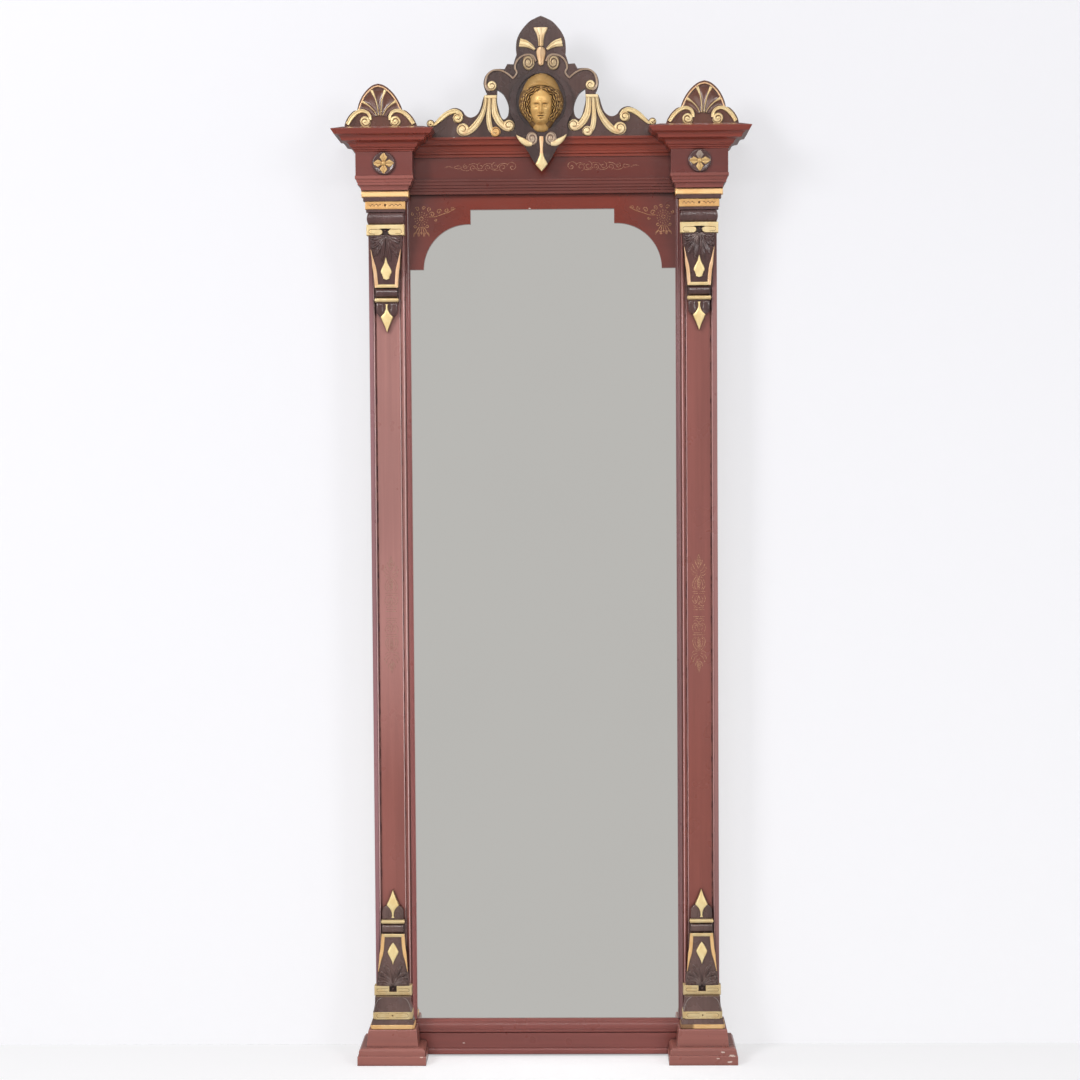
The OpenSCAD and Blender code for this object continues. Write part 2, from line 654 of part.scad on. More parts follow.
// Gilt arch rim, ribs and side scrolls of a leaf fan
fan_rim = curve([[0, fan_h - 6.5], [12, fan_h - 10], [22.5, fan_h - 17.5], [32, fan_h - 27],
    [39.5, fan_h - 37.5], [46, fan_h - 49.5], [50.3, fan_h - 60], [53.5, fan_spring + 3]]);
fan_ribs = [[[7.5, 33], [16, 47], [28, 59], [42.5, 69]], [[2.6, 33], [4.5, 52], [8.5, 74], [17, 94]]];
fan_arm = [[25, 21], [26, 32], [33, 41.5], [46, 45], [60, 40], [73, 28], [84.5, 11]];
fan_ball = [38, 18];                       // middle of the scroll beside the ribs
fan_ball_r = 14;                           // radius of that scroll
module fan_gilding(side) color(gilt) on_side(side) translate([fan_x, 0, crown_top])
    slab(fan_front, fan_front + fan_relief) for (s = [-1, 1]) {
        polygon(leant(ribbon(fan_rim, 2.6, 2.6), s));
        for (rib = fan_ribs) polygon(leant(ribbon(curve(rib), 1.2, 3.4), s));
        polygon(leant(ribbon(curve(fan_arm), 4, 5.5), s));
        translate(leant([fan_ball], s)[0]) circle(r = fan_ball_r, $fn = 40);
    }

// ---------- brackets ----------

// Face of a tapered bracket: depth in front of the edge moulding, from wide to narrow end
function corbel_face(z_wide, z_narrow, lift) = [for (t = [0, 0.25, 0.5, 0.75, 1])
    let (s = t * t * (3 - 2 * t))
    [strip_w + lift + corbel_deep + (corbel_shallow - corbel_deep) * s,
        z_wide + (z_narrow - z_wide) * t]];

// Solid of a tapered bracket
module corbel(z_wide, z_narrow, half_wide, half_narrow) intersection() {
    run_x(-half_wide - eps, half_wide + eps) polygon(concat([[strip_w, z_wide]],
        corbel_face(z_wide, z_narrow, 0), [[strip_w, z_narrow]]));
    slab(strip_w - eps, strip_w + corbel_deep + eps) polygon([[-half_wide, z_wide],
        [half_wide, z_wide], [half_narrow, z_narrow], [-half_narrow, z_narrow]]);
}

// Thin layer that lies on the face of a tapered bracket, cut to the drawn shapes
module on_corbel(z_wide, z_narrow) intersection() {
    run_x(-corbel_half - 2 * eps, corbel_half + 2 * eps) polygon(concat(
        corbel_face(z_wide, z_narrow, 0), backwards(corbel_face(z_wide, z_narrow, relief))));
    slab(strip_w, strip_w + corbel_deep + relief + eps) children();
}

// Half round roll across a bracket
module roll(z0, z1, half, rise)
    mitred(concat([[-rise, z0]], [for (i = [1:2 * round_steps - 1]) let (a = 180 * i / (2 * round_steps))
        [-rise + rise * sin(a), (z0 + z1) / 2 - (z1 - z0) / 2 * cos(a)]], [[-rise, z1]]),
        half, strip_w, strip_w + neck_deep - 6);

neck_deep = 28;                            // depth of the widest fillet in front of the edge moulding
small_deep = 10;                           // depth of the small roll and fillet
small_half = 27;                           // half width of the small roll and the lobed leaf
leaf_t = 6;                                // thickness of the lobed leaf
neck_step = 4.5;                           // how far each fillet draws in from the one above

// Heights of the head bracket, from the bed moulding down
neck_1 = bed_z - neck_fillet_h;
neck_2 = neck_1 - neck_dark_h;
neck_3 = neck_2 - neck_panel_h;
neck_4 = neck_3 - neck_step_h;
neck_5 = neck_4 - neck_roll_h;
neck_6 = neck_5 - fret_h;
head_tip = neck_6 - corbel_h;
head_roll = head_tip - small_roll_h;
head_fillet = head_roll - small_fillet_h;

// Heights of the foot bracket, from the die up
foot_1 = die_top + foot_fillet_h;
foot_2 = foot_1 + foot_dark_h;
foot_3 = foot_2 + foot_panel_h;
foot_4 = foot_3 + foot_hollow_h;
foot_5 = foot_4 + foot_fret_h;
foot_tip = foot_5 + corbel_h;
foot_roll = foot_tip + small_roll_h;
foot_fillet = foot_roll + small_fillet_h;

// Lobed leaf at the end of a bracket; way is 1 where it points up and -1 where it hangs
module lobed_leaf(z, way) slab(strip_w - edge_rise, strip_w + leaf_t) {
    for (s = [-1, 1]) translate([s * small_half / 2, z + way * (leaf_h - small_half / 2)])
        circle(r = small_half / 2, $fn = 40);
    translate([-small_half, min(z, z + way * (leaf_h - small_half / 2))])
        square([2 * small_half, leaf_h - small_half / 2]);
}

// Gilt spearhead with a short stem, crossing the leaf and reaching past it
module spear(z, way) {
    outline = [for (p = concat(curve([[4.6, spear_l * 0.06], [2.7, spear_l * 0.16],
        [4.2, spear_l * 0.27], [8.5, spear_l * 0.37], [spear_half, spear_l * 0.5]]),
        [[spear_half * 0.45, spear_l * 0.76], [0.3, spear_l]])) [p.x, z + way * p.y]];
    slab(strip_w + leaf_t, strip_w + leaf_t + relief + 1) polygon(whole(outline));
    slab(strip_w - edge_rise, strip_w + leaf_t) intersection() {
        polygon(whole(outline));
        translate([-spear_half, min(z + way * leaf_h, z + way * spear_l)])
            square([2 * spear_half, spear_l - leaf_h]);
    }
}

// Core that joins the carved parts of a bracket to its backing strip, between two heights
tie_half = small_half - 2;                 // half width of the core
tie_t = 2;                                 // how far the core runs into what it joins
module tie(z0, z1) brick([-tie_half, strip_w - tie_t, z0], [tie_half, strip_w + tie_t, z1]);

// The same across the joint between the backing strip and the lobed leaf
module leaf_tie(z) brick([-tie_half, face_w + 1, z - tie_t], [tie_half, strip_w - 1, z + tie_t]);

// Small end of a bracket: roll and lobed leaf, z0 at the corbel and way away from it
module small_end(z0, way) {
    z1 = z0 + way * small_roll_h;
    z2 = z1 + way * small_fillet_h;
    run_x(-small_half, small_half) polygon([for (a = [0:10:180])
        [strip_w + small_deep * sin(a), (z0 + z1) / 2 - (z1 - z0) / 2 * cos(a)]]);
    lobed_leaf(z2, way);
}

// Ebonised head bracket under a cap
module head_bracket(side) color(dark_wood) on_side(side) translate([axis, 0, 0]) {
    brick([-corbel_tip_half, face_w, head_fillet], [corbel_tip_half, strip_w, bed_z]);
    brick([-neck_half + neck_step, strip_w, neck_2],
        [neck_half - neck_step, strip_w + neck_deep - 3, neck_1]);
    brick([-neck_half + 2.5 * neck_step, strip_w, neck_4],
        [neck_half - 2.5 * neck_step, strip_w + neck_deep - 8, neck_3]);
    roll(neck_5, neck_4, fret_half - 1, 7);
    corbel(neck_6, head_tip, corbel_half, corbel_tip_half);
    small_end(head_tip, -1);
    tie(neck_2, neck_1);
    tie(neck_5, neck_3);
    tie(head_roll + 2 * tie_t, neck_6);
    leaf_tie(head_fillet);
}

// Fillets, fret band, border, teardrop and spearhead of the head bracket
module head_gilding(side) color(gilt) on_side(side) translate([axis, 0, 0]) {
    brick([-neck_half, strip_w, neck_1], [neck_half, strip_w + neck_deep, bed_z]);
    brick([-neck_half + 2 * neck_step, strip_w, neck_3],
        [neck_half - 2 * neck_step, strip_w + neck_deep - 6, neck_2]);
    fret_band(neck_6, neck_5, 1);
    on_corbel(neck_6, head_tip) {
        border(head_tip, neck_6, 1);
        teardrop(head_tip + corbel_h * 0.32, 1);
    }
    brick([-corbel_tip_half - 1, strip_w, head_fillet],
        [corbel_tip_half + 1, strip_w + small_deep + 1, head_roll]);
    spear(head_fillet, -1);
}

// Gilt band with a notch in the middle of the edge that meets the corbel
notch_half = 7;                            // half width of the notch
module fret_band(z0, z1, way) difference() {
    brick([-fret_half, strip_w, z0], [fret_half, strip_w + corbel_deep + relief + 1, z1]);
    brick([-notch_half, strip_w + corbel_deep - 4, way > 0 ? z0 - eps : z1 + eps],
        [notch_half, strip_w + corbel_deep + relief + 2, way > 0 ? z0 + fret_h / 2 : z1 - fret_h / 2]);
}

// Border along the two sides and the narrow end of a corbel, drawn in front view
module border(z_tip, z_wide, way) {
    run = abs(z_wide - z_tip);
    flare = (corbel_half - corbel_tip_half) / corbel_h;
    for (s = [-1, 1]) polygon([for (p = [[corbel_tip_half, 0],
        [corbel_tip_half + flare * run * 0.72, run * 0.72],
        [corbel_tip_half + flare * run * 0.6 - border_w + 1, run * 0.3],
        [corbel_tip_half - border_w, 0]]) [s * p.x, z_tip + way * p.y]]);
    translate([-corbel_tip_half, min(z_tip, z_tip + way * border_w)])
        square([2 * corbel_tip_half, border_w]);
}

// Teardrop whose round end is towards the narrow end of the corbel
drop_half = 14.5;                          // half width of the teardrop
module teardrop(z, way) polygon(whole([for (p = curve([[0.5, 34], [2.5, 27], [4.5, 20], [8, 13],
    [12, 6], [drop_half, -1], [13, -9], [9.5, -15], [8, -19], [0.5, -22]])) [p.x, z + way * p.y]]));

// Ebonised foot bracket over a plinth
module foot_bracket(side) color(dark_wood) on_side(side) translate([axis, 0, 0]) {
    brick([-corbel_tip_half, face_w, die_top], [corbel_tip_half, strip_w, foot_fillet]);
    mitred([[0, foot_1], [-3, foot_2]], foot_half - 2, strip_w, strip_w + foot_deep - 2, 8);
    mitred([for (i = [0:round_steps]) let (t = i / round_steps)
        [-7 - 4.5 * t - 1.5 * sin(180 * t), foot_3 + foot_hollow_h * t]], foot_half, strip_w,
        strip_w + foot_deep, 5, 23);
    corbel(foot_5, foot_tip, corbel_half, corbel_tip_half);
    small_end(foot_tip, 1);
    tie(foot_1, foot_2);
    tie(foot_3, foot_4);
    tie(foot_5, foot_roll - 2 * tie_t);
    leaf_tie(foot_fillet);
}

foot_deep = 52;                            // depth of the foot fillet in front of the edge moulding

// Fillets, fret block, border, lozenge and spearhead of the foot bracket
module foot_gilding(side) color(gilt) on_side(side) translate([axis, 0, 0]) {
    mitred([[0, die_top], [0, foot_1]], foot_half, strip_w, strip_w + foot_deep, 6);
    mitred([[-5, foot_2], [-7, foot_3]], foot_half, strip_w, strip_w + foot_deep, 7);
    fret_band(foot_4, foot_5, -1);
    on_corbel(foot_5, foot_tip) {
        border(foot_tip, foot_5, -1);
        lozenge((foot_5 + foot_tip) / 2 + corbel_h * 0.15);
    }
    brick([-corbel_tip_half - 1, strip_w, foot_roll],
        [corbel_tip_half + 1, strip_w + small_deep + 1, foot_fillet]);
    spear(foot_fillet, 1);
}

// Pointed gilt lozenge
module lozenge(z) polygon(whole(concat([[0.3, z + 24]], curve([[7, z + 16], [drop_half, z],
    [8, z - 14], [2, z - 26]]), [[0.3, z - 31]])));

// ---------- plinths ----------

// Stepped plinth with canted corners that goes back to the wall outside the pilaster
module plinth(side) color(wood) on_side(side) difference() {
    translate([axis, 0, 0]) {
        mitred([[0, 0], [0, base_h - 2], [-2, base_h], [-tier_draw, base_h],
            [-tier_draw, die_z - 6], [-tier_draw - 5, die_z]], base_w / 2, 0, base_front, base_cant);
        mitred([[0, die_z - eps], [-die_splay * 0.75, die_top - 3], [-die_splay, die_top]], die_w / 2, 0,
            base_front - (base_w - die_w) / 2, die_cant);
    }
    pilaster_room(0, die_top);
    brick([0, -eps, -eps], [pilaster_in + eps, face_w, die_top + eps]);
}

// ---------- crest ----------

// The crest is drawn 305 high over the cornice and for pilasters 355 from the middle plane, and
// scaled to the height that is set and to the place of the pilasters
crest_k = crest_h / 305;
crest_kx = pilaster_in / 355;
module crest_slab(back, front)
    translate([0, 0, cornice_top]) slab(back, front) scale([crest_kx, crest_k]) children();

// Half outline of the crest board, from its point down, z from the top of the cornice
palmette_half = curve([[0, 305], [14, 299], [30, 290], [49, 269], [60.5, 247], [63.5, 224],
    [62, 207]]);
ear_half = [[66, 197], [70, 183], [86, 184], [93, 171]];
shoulder_half = curve([[104, 172], [124, 170], [141, 156], [147, 135], [142, 117], [136, 109]]);
skirt_half = curve([[146, 103], [150, 92], [154, 77], [161, 61], [172, 51.5], [184, 50],
    [194, 56], [200, 65], [210, 72], [223, 74], [237, 69], [250, 60], [262, 49], [274, 38]]);
end_half = concat([for (a = [140:-20:-60]) [283 + 10 * cos(a), 35 + 10 * sin(a)]],
    [[294, 14], [302, 0]]);
crest_half = concat(palmette_half, ear_half, shoulder_half, skirt_half, end_half);
// Leaf-shaped opening beside the shield
crest_hole = curve([[112, 121], [97, 109], [87, 90], [83, 71], [86, 52], [96, 44], [103, 52],
    [108, 68], [113, 90], [113, 108], [112, 121]]);

module crest_board() color(dark_wood) difference() {
    crest_slab(crest_back, crest_front) difference() {
        polygon(whole(crest_half));
        for (s = [-1, 1]) on_side(s) polygon(crest_hole);
    }
    crest_dowel_holes();
}

// Shield that stands in front of the board and hangs over the cornice
shield_half = concat(curve([[0, 163], [24, 160], [44, 150], [62, 134], [75, 112], [80.5, 88],
    [80, 66], [76, 51], [69.5, 42], [66.5, 32], [66, 20], [66.5, 4]]), [[66, 1]], curve([[62, -3],
    [56, -10], [48, -20], [40, -31], [32, -45], [22, -62], [10, -76], [0, -83]]));
oval_z = 86;                               // height of the middle of the oval sinking
oval_rx = 64;                              // half width of the sinking
oval_rz = 72;                              // half height of the sinking
module crest_shield() color(dark_wood) difference() {
    crest_slab(crest_front, shield_front) polygon(whole(shield_half));
    crest_slab(sink_w, shield_front + eps) polygon(oval([0, oval_z], oval_rx, oval_rz));
}

// Plain rounded form of the capped head, cut flat where it lies in the sinking. The cap and
// hair are turned about an upright line behind the sinking, and the face about one before it.
mask_hair = [[0, 0.5], [0.3, 0.49], [0.6, 0.44], [0.8, 0.36], [0.9, 0.24], [0.93, 0.2], [0.9, 0.17],
    [0.97, 0.08], [1, -0.02], [0.97, -0.12], [0.86, -0.24], [0.66, -0.34], [0.46, -0.4],
    [0.42, -0.5], [0, -0.5]];
mask_face = [[0, 0.26], [0.5, 0.24], [0.86, 0.14], [1, 0], [0.98, -0.14], [0.84, -0.28],
    [0.6, -0.38], [0.3, -0.43], [0, -0.44]];
mask_foot = 8;                             // height of the foot of the mask
hair_back = 8;                             // distance of the hair's line behind the sinking
face_r = 35;                               // radius of the face
module crest_mask() color(mask_gilt) difference() {
    head();
    crest_slab(sink_w - eps, shield_front) difference() {
        square(4 * mask_h, center = true);
        polygon(oval([0, oval_z], oval_rx, oval_rz));
    }
}

// The whole head, which stands with its foot just over the scrolls of the pendant
module head() translate([0, 0, cornice_top + crest_k * mask_foot + mask_h / 2]) intersection() {
    union() {
        turned([for (p = mask_hair) [p.x * mask_w / 2, p.y * mask_h]], sink_w - hair_back);
        turned([for (p = mask_face) [p.x * face_r, p.y * mask_h]], sink_w + mask_rise - face_r);
        run_x(-4, 4) polygon([for (p = [[-12, 0.1], [0, 0.09], [4, -0.08], [7, -0.13], [1, -0.16],
            [-12, -0.16]]) [sink_w + mask_rise + p.x, p.y * mask_h]]);
    }
    brick([-mask_w, sink_w, -mask_h / 2], [mask_w, sink_w + mask_rise + 8, mask_h / 2]);
}

// Form turned about an upright line at a distance from the wall
module turned(half, w) translate([0, wall_y - w, 0]) rotate_extrude($fn = 64) polygon(half);

// Gilt moulding that outlines the volutes and shoulders of the crest
volute = [32, 186];                        // middle of a volute
volute_r = 21;                             // radius of the moulding's turn round a volute
rim_half = 3;                              // half width of the moulding
rim_corner = [71, 147];                    // where the turn meets the shoulder
rim_turn = curve([[12.5, 190], [20, 203.5], [34, 207], [50, 202], [62, 190], [66.5, 174],
    [62, 161], rim_corner]);
rim_shoulder = curve([rim_corner, [87, 160], [105, 168], [124, 167], [138, 154], [142, 134],
    [137, 120], [125, 117]]);
rim_ball = [126, 129];                     // middle of the small scroll at its end
rim_ball_r = 12.5;                         // radius of that scroll
module crest_rim() color(gilt) crest_slab(crest_front, gilt_front)
    for (s = [-1, 1]) on_side(s) {
        polygon(ribbon(rim_turn, rim_half, rim_half));
        polygon(ribbon(rim_shoulder, rim_half, rim_half + 0.5));
        translate(rim_corner) circle(r = rim_half + 0.6, $fn = 24);
        translate(volute) circle(r = volute_r - rim_half - 3, $fn = 48);
        translate(rim_ball) circle(r = rim_ball_r, $fn = 40);
    }

// Three strands that hang from a bar and end in scrolls, on each side of the shield
strands = [
    [[[140, 99], [142, 92], [144, 75], [149, 58], [159, 40], [173, 23.5], [188, 12], [200, 8.6]], 5.5, 7,
        [200.5, 18.6], 16],
    [[[132, 99], [134, 92], [134.5, 75], [134.7, 55], [134, 38], [130, 20], [119, 5.5]], 5.5, 7.5,
        [117.2, 12.5], 13],
    [[[120, 99], [120.5, 92], [119.8, 75], [116.5, 58], [109.5, 42], [100, 29], [84, 19]], 5.5, 7.5,
        [82.8, 28], 15]];
module crest_drapes() color(gilt) crest_slab(crest_front, gilt_front)
    for (s = [-1, 1]) on_side(s) {
        translate([113, 97]) square([32, 8]);
        for (strand = strands) {
            polygon(ribbon(curve(strand[0]), strand[1], strand[2]));
            translate(strand[3]) circle(r = strand[4], $fn = 40);
        }
    }

// Scrolls that run out to the ends of the crest
end_path = curve([[276, 31], [269, 35], [259, 44.5], [245, 56.5], [232, 63.5], [219, 65], [207, 60],
    [202, 51]]);
module crest_end_scrolls() color(gilt) crest_slab(crest_front, gilt_front)
    for (s = [-1, 1]) on_side(s) {
        polygon(ribbon(end_path, 3.6, 7));
        translate([283, 35]) circle(r = 8.5, $fn = 40);
        translate([213, 48]) circle(r = 13, $fn = 40);
    }

// Blade, bud and side leaves in the palmette
module crest_palmette() color(gilt) crest_slab(crest_front, gilt_front) {
    polygon(whole(concat([[0, 275], [19, 276]], curve([[17, 269], [10, 256], [7, 243], [6.5, 229]]))));
    polygon(oval([0, 202], 11, 23));
    for (s = [-1, 1]) on_side(s)
        polygon(ribbon(curve([[18, 221], [27, 229], [39, 235], [53, 237.5]]), 4.5, 9.5));
}

// Leaves, scrolls and drop in the foot of the shield
module crest_pendant() color(gilt) crest_slab(shield_front, shield_front + scroll_relief) {
        for (s = [-1, 1]) on_side(s) {
            polygon(ribbon(curve([[59.5, 1], [48, -11], [36, -18.5], [22, -20]]), 0.8, 6));
            translate([24, -7]) circle(r = 14, $fn = 40);
        }
        polygon(whole(concat([[0, -2], [5.5, -2.1]], curve([[5.5, -10], [4, -28], [4, -42]]),
            [[15.5, -72], [0.3, -90]])));
    }

// Triangular pine blocks glued behind the crest board
crest_block_w = 40;                        // width and height of a block
module crest_blocks() color(pine) for (x = crest_kx * [-250, -130, 130, 250])
    translate([x, 0, 0]) run_x(-crest_block_w / 2, crest_block_w / 2)
        polygon([[crest_back, cornice_top], [crest_back, cornice_top + crest_block_w],
            [crest_back - 24, cornice_top]]);

// Dowels: where they stand, and the holes that take them
dowel_y = (crest_back + crest_front) / 2;
fan_dowel_y = (fan_back + fan_front) / 2;
crest_dowel_x = crest_kx * [-240, -150, 150, 240];
module upright_dowel(x, w, z, r, l) translate([x, wall_y - w, z - l / 2]) cylinder(h = l, r = r, $fn = 24);
module crest_dowel_holes() for (x = crest_dowel_x)
    upright_dowel(x, dowel_y, cornice_top, dowel_r + fit_play, dowel_l + 1);
module fan_dowel_holes() for (s = [-1, 1]) for (d = [-1, 1])
    upright_dowel(s * (fan_x + d * fan_foot * 0.45), fan_dowel_y, crown_top, dowel_r + fit_play,
        dowel_l + 1);

module dowels() color(pine) {
    for (x = crest_dowel_x) upright_dowel(x, dowel_y, cornice_top, dowel_r, dowel_l);
    for (s = [-1, 1]) for (d = [-1, 1])
        upright_dowel(s * (fan_x + d * fan_foot * 0.45), fan_dowel_y, crown_top, dowel_r, dowel_l);
}

// ---------- wall fixings ----------

// Iron plates let into the back of the top rail, with a wall hole above it
module wall_plates() color(iron) both() difference() {
    brick([plate_x - plate_w / 2, 0, cornice_top - plate_down],
        [plate_x + plate_w / 2, plate_t, cornice_top + plate_up]);
    peg(plate_x, cornice_top + plate_up - plate_w / 2, -eps, plate_t + eps, wall_hole_r);
    for (z = plate_screw_z) peg(plate_x, z, -eps, plate_t + eps, screw_r + fit_play);
}

module plate_screws() color(iron) both() for (z = plate_screw_z)
    peg(plate_x, z, 0, screw_l, screw_r);

stile(-1);  // stile_left
stile(1);  // stile_right
top_rail();
bottom_rail();
back_boards();
back_nails();
glass_wedges();
mirror_glass();
pilaster_board(-1);  // pilaster_board_left
pilaster_board(1);  // pilaster_board_right
edge_moulding(-1);  // edge_moulding_left
edge_moulding(1);  // edge_moulding_right
panel_bead(-1);  // panel_bead_left
panel_bead(1);  // panel_bead_right
sight_moulding(-1);  // sight_moulding_left
sight_moulding(1);  // sight_moulding_right
rail_face();
rail_moulding();
foot_bead();
spandrel_board();
architrave();
frieze();
cornice();
plinth(-1);  // plinth_left
plinth(1);  // plinth_right
foot_bracket(-1);  // foot_bracket_left
foot_bracket(1);  // foot_bracket_right
foot_gilding(-1);  // foot_gilding_left
foot_gilding(1);  // foot_gilding_right
head_bracket(-1);  // head_bracket_left
head_bracket(1);  // head_bracket_right
head_gilding(-1);  // head_gilding_left
head_gilding(1);  // head_gilding_right
bed_moulding(-1);  // bed_moulding_left
bed_moulding(1);  // bed_moulding_right
cap_block(-1);  // cap_block_left
cap_block(1);  // cap_block_right
cap_crown(-1);  // cap_crown_left
cap_crown(1);  // cap_crown_right
rosette_disc(-1);  // rosette_disc_left
rosette_disc(1);  // rosette_disc_right
rosette_flower(-1);  // rosette_flower_left
rosette_flower(1);  // rosette_flower_right
leaf_fan(-1);  // leaf_fan_left
leaf_fan(1);  // leaf_fan_right
fan_gilding(-1);  // fan_gilding_left
fan_gilding(1);  // fan_gilding_right
crest_board();
crest_shield();
crest_mask();
crest_rim();
crest_drapes();
crest_end_scrolls();
crest_palmette();
crest_pendant();
crest_blocks();
dowels();
wall_plates();
plate_screws();
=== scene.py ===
import math

import bpy
import numpy as np
from mathutils import Matrix, Vector


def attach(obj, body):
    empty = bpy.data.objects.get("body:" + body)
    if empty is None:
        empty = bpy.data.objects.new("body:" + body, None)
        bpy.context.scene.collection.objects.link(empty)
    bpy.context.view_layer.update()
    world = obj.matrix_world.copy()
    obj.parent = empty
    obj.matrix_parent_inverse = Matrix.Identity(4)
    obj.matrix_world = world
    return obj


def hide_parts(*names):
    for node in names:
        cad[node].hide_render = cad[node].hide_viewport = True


# A tall pier mirror, dressed in the order in which it is put together. Sizes are millimetres:
# x to the right, z up from the floor, w forwards from the wall. The meshes are in metres.
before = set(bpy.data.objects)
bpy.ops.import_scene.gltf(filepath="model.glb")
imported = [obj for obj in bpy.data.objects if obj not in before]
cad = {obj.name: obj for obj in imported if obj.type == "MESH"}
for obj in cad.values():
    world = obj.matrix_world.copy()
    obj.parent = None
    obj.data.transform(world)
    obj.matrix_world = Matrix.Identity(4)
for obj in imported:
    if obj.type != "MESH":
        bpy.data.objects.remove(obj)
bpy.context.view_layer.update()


# ---- Carcass: pine stiles and rails, backboards, wedges, glue blocks and dowels ----
# Bare softwood that nobody sees from the front. Sawn and planed, tenoned, glued and nailed,
# and browned by a century and a half of dust.

def feed(node, inputs):
    """Sets each input, given by its socket's name or number, or links the socket that feeds it."""
    for key, value in inputs.items():
        if isinstance(value, bpy.types.NodeSocket):
            node.id_data.links.new(value, node.inputs[key])
        else:
            node.inputs[key].default_value = value


def add(kind, inputs=None, tree=None, **settings):
    """Adds a node to the tree, or to that of the sockets that feed it, and returns its outputs."""
    inputs = inputs or {}
    sockets = [value for value in inputs.values() if isinstance(value, bpy.types.NodeSocket)]
    made = (tree or sockets[0].id_data).nodes.new("ShaderNode" + kind)
    for key, value in settings.items():
        setattr(made, key, value)
    feed(made, inputs)
    return made.outputs


def maths(operation, a, b=0.0, clamp=False):
    return add("Math", {0: a, 1: b}, operation=operation, use_clamp=clamp)[0]


def times(a, b):
    return maths("MULTIPLY", a, b)


def plus(a, b, clamp=False):
    return maths("ADD", a, b, clamp)


def minus(a, b):
    return maths("SUBTRACT", a, b)


def blend(share, first, second):
    """Colour that goes from the first to the second as the share goes from 0 to 1."""
    return add("Mix", {0: share, 6: first, 7: second}, data_type="RGBA")[2]


def ramp(value, low, high):
    """0 where the value is under low, 1 where it is over high, and smooth between."""
    return add("MapRange", {0: value, 1: low, 2: high}, interpolation_type="SMOOTHSTEP")[0]


def noise(where, scale, detail=3.0, roughness=0.55):
    return add("TexNoise", {"Vector": where, "Scale": scale, "Detail": detail,
                            "Roughness": roughness})[0]


def stretched(where, factors):
    return add("VectorMath", {0: where, 1: factors}, operation="MULTIPLY")[0]


def effect(name, inputs, outputs):
    """Starts a shader node group with named sockets. Returns it, its inner inputs and its end."""
    group = bpy.data.node_groups.new(name, "ShaderNodeTree")
    for side, sockets in (("INPUT", inputs), ("OUTPUT", outputs)):
        for label, kind in sockets.items():
            group.interface.new_socket(label, in_out=side, socket_type="NodeSocket" + kind)
    return group, group.nodes.new("NodeGroupInput").outputs, group.nodes.new("NodeGroupOutput")


# Grain along z of the given coordinates: fine streaks over a slow figure, with short pores
grain, given, end = effect(
    "grain", {"Where": "Vector", "Dark": "Color", "Light": "Color", "Streaks": "Float"},
    {"Color": "Color", "Height": "Float"})
streaks = noise(stretched(given["Where"], (90, 90, 2.2)), 1.0, 4.0)
figure = noise(stretched(given["Where"], (9, 9, 1.1)), 1.0, 3.0)
pores = ramp(noise(stretched(given["Where"], (700, 700, 26)), 1.0, 1.0), 0.62, 0.74)
tone = plus(times(streaks, given["Streaks"]), times(figure, minus(1.0, given["Streaks"])))
tint = blend(ramp(tone, 0.32, 0.68), given["Dark"], given["Light"])
feed(end, {"Color": blend(times(pores, 0.45), tint, given["Dark"]), "Height": minus(streaks, pores)})

# Rubbed edges that also carry a painted highlight, and dust in the hollows together with painted
# shade, both found from how open the surface is inside and outside
wear_and_shade, given, end = effect("wear_and_shade", {"Where": "Vector", "Edge": "Float", "Hollow": "Float"},
                              {"WearAndSheen": "Float", "DirtAndShade": "Float"})
edges = add("AmbientOcclusion", {"Distance": given["Edge"]}, inside=True, only_local=True,
            samples=4)["AO"]
hollows = add("AmbientOcclusion", {"Distance": given["Hollow"]}, samples=4)["AO"]
patchy = noise(given["Where"], 34.0, 4.0)
clinging = plus(times(ramp(patchy, 0.7, 0.3), 0.4), 0.6)
# Edges are marked for wear and a painted highlight, hollows for dust and painted shade
feed(end, {"WearAndSheen": times(ramp(edges, 0.72, 0.3), ramp(patchy, 0.34, 0.58)),
           "DirtAndShade": times(ramp(hollows, 0.86, 0.32), clinging)})


def finish_start(name):
    """New material, its shader and the Object coordinates."""
    made = bpy.data.materials.new(name)
    made.use_nodes = True
    tree = made.node_tree
    return made, tree.nodes["Principled BSDF"], add("TexCoord", tree=tree)["Object"]


def use(group, **inputs):
    return add("Group", inputs, node_tree=group)


def opaque(colour):
    return tuple(colour) + (1,)


def shade(colour, factor):
    return opaque(factor * part for part in colour)


def wood_grain(where, turn, dark, light, streaks):
    """Grain that runs along z, x or y of the piece."""
    turned = {"z": (0, 0, 0), "x": (0, math.pi / 2, 0), "y": (math.pi / 2, 0, 0)}[turn]
    return use(grain, Where=add("Mapping", {"Vector": where, "Rotation": turned})[0], Dark=dark,
               Light=light, Streaks=streaks)


def bump(height, strength, distance, radius=None):
    """Normal of a fine relief, over edges that are rounded to the radius."""
    inputs = {"Height": height, "Strength": strength, "Distance": distance}
    if radius:
        inputs["Normal"] = add("Bevel", {"Radius": radius}, height.id_data, samples=4)[0]
    return add("Bump", inputs)[0]


def softwood(name, turn):
    made, shader, where = finish_start(name)
    wood = wood_grain(where, turn, (0.23, 0.125, 0.055, 1), (0.50, 0.33, 0.17, 1), 0.45)
    # Hollows darkened towards brown-black: dust, and painted shade
    dirt_and_shade = times(use(wear_and_shade, Where=where, Edge=0.002, Hollow=0.03)["DirtAndShade"], 0.7)
    feed(shader, {"Base Color": blend(dirt_and_shade, wood["Color"], (0.10, 0.065, 0.04, 1)), "Roughness": 0.82,
                  "Normal": bump(wood["Height"], 0.5, 0.0006)})
    return made


def dress(material, *names):
    """Gives carried-over solids their finish."""
    for name in names:
        for slot in cad[name].material_slots:
            slot.material = material


dress(softwood("pine_upright", "z"), "stile_left", "stile_right", "back_boards", "dowels",
      "glass_wedges")
dress(softwood("pine_level", "x"), "top_rail", "bottom_rail", "crest_blocks")


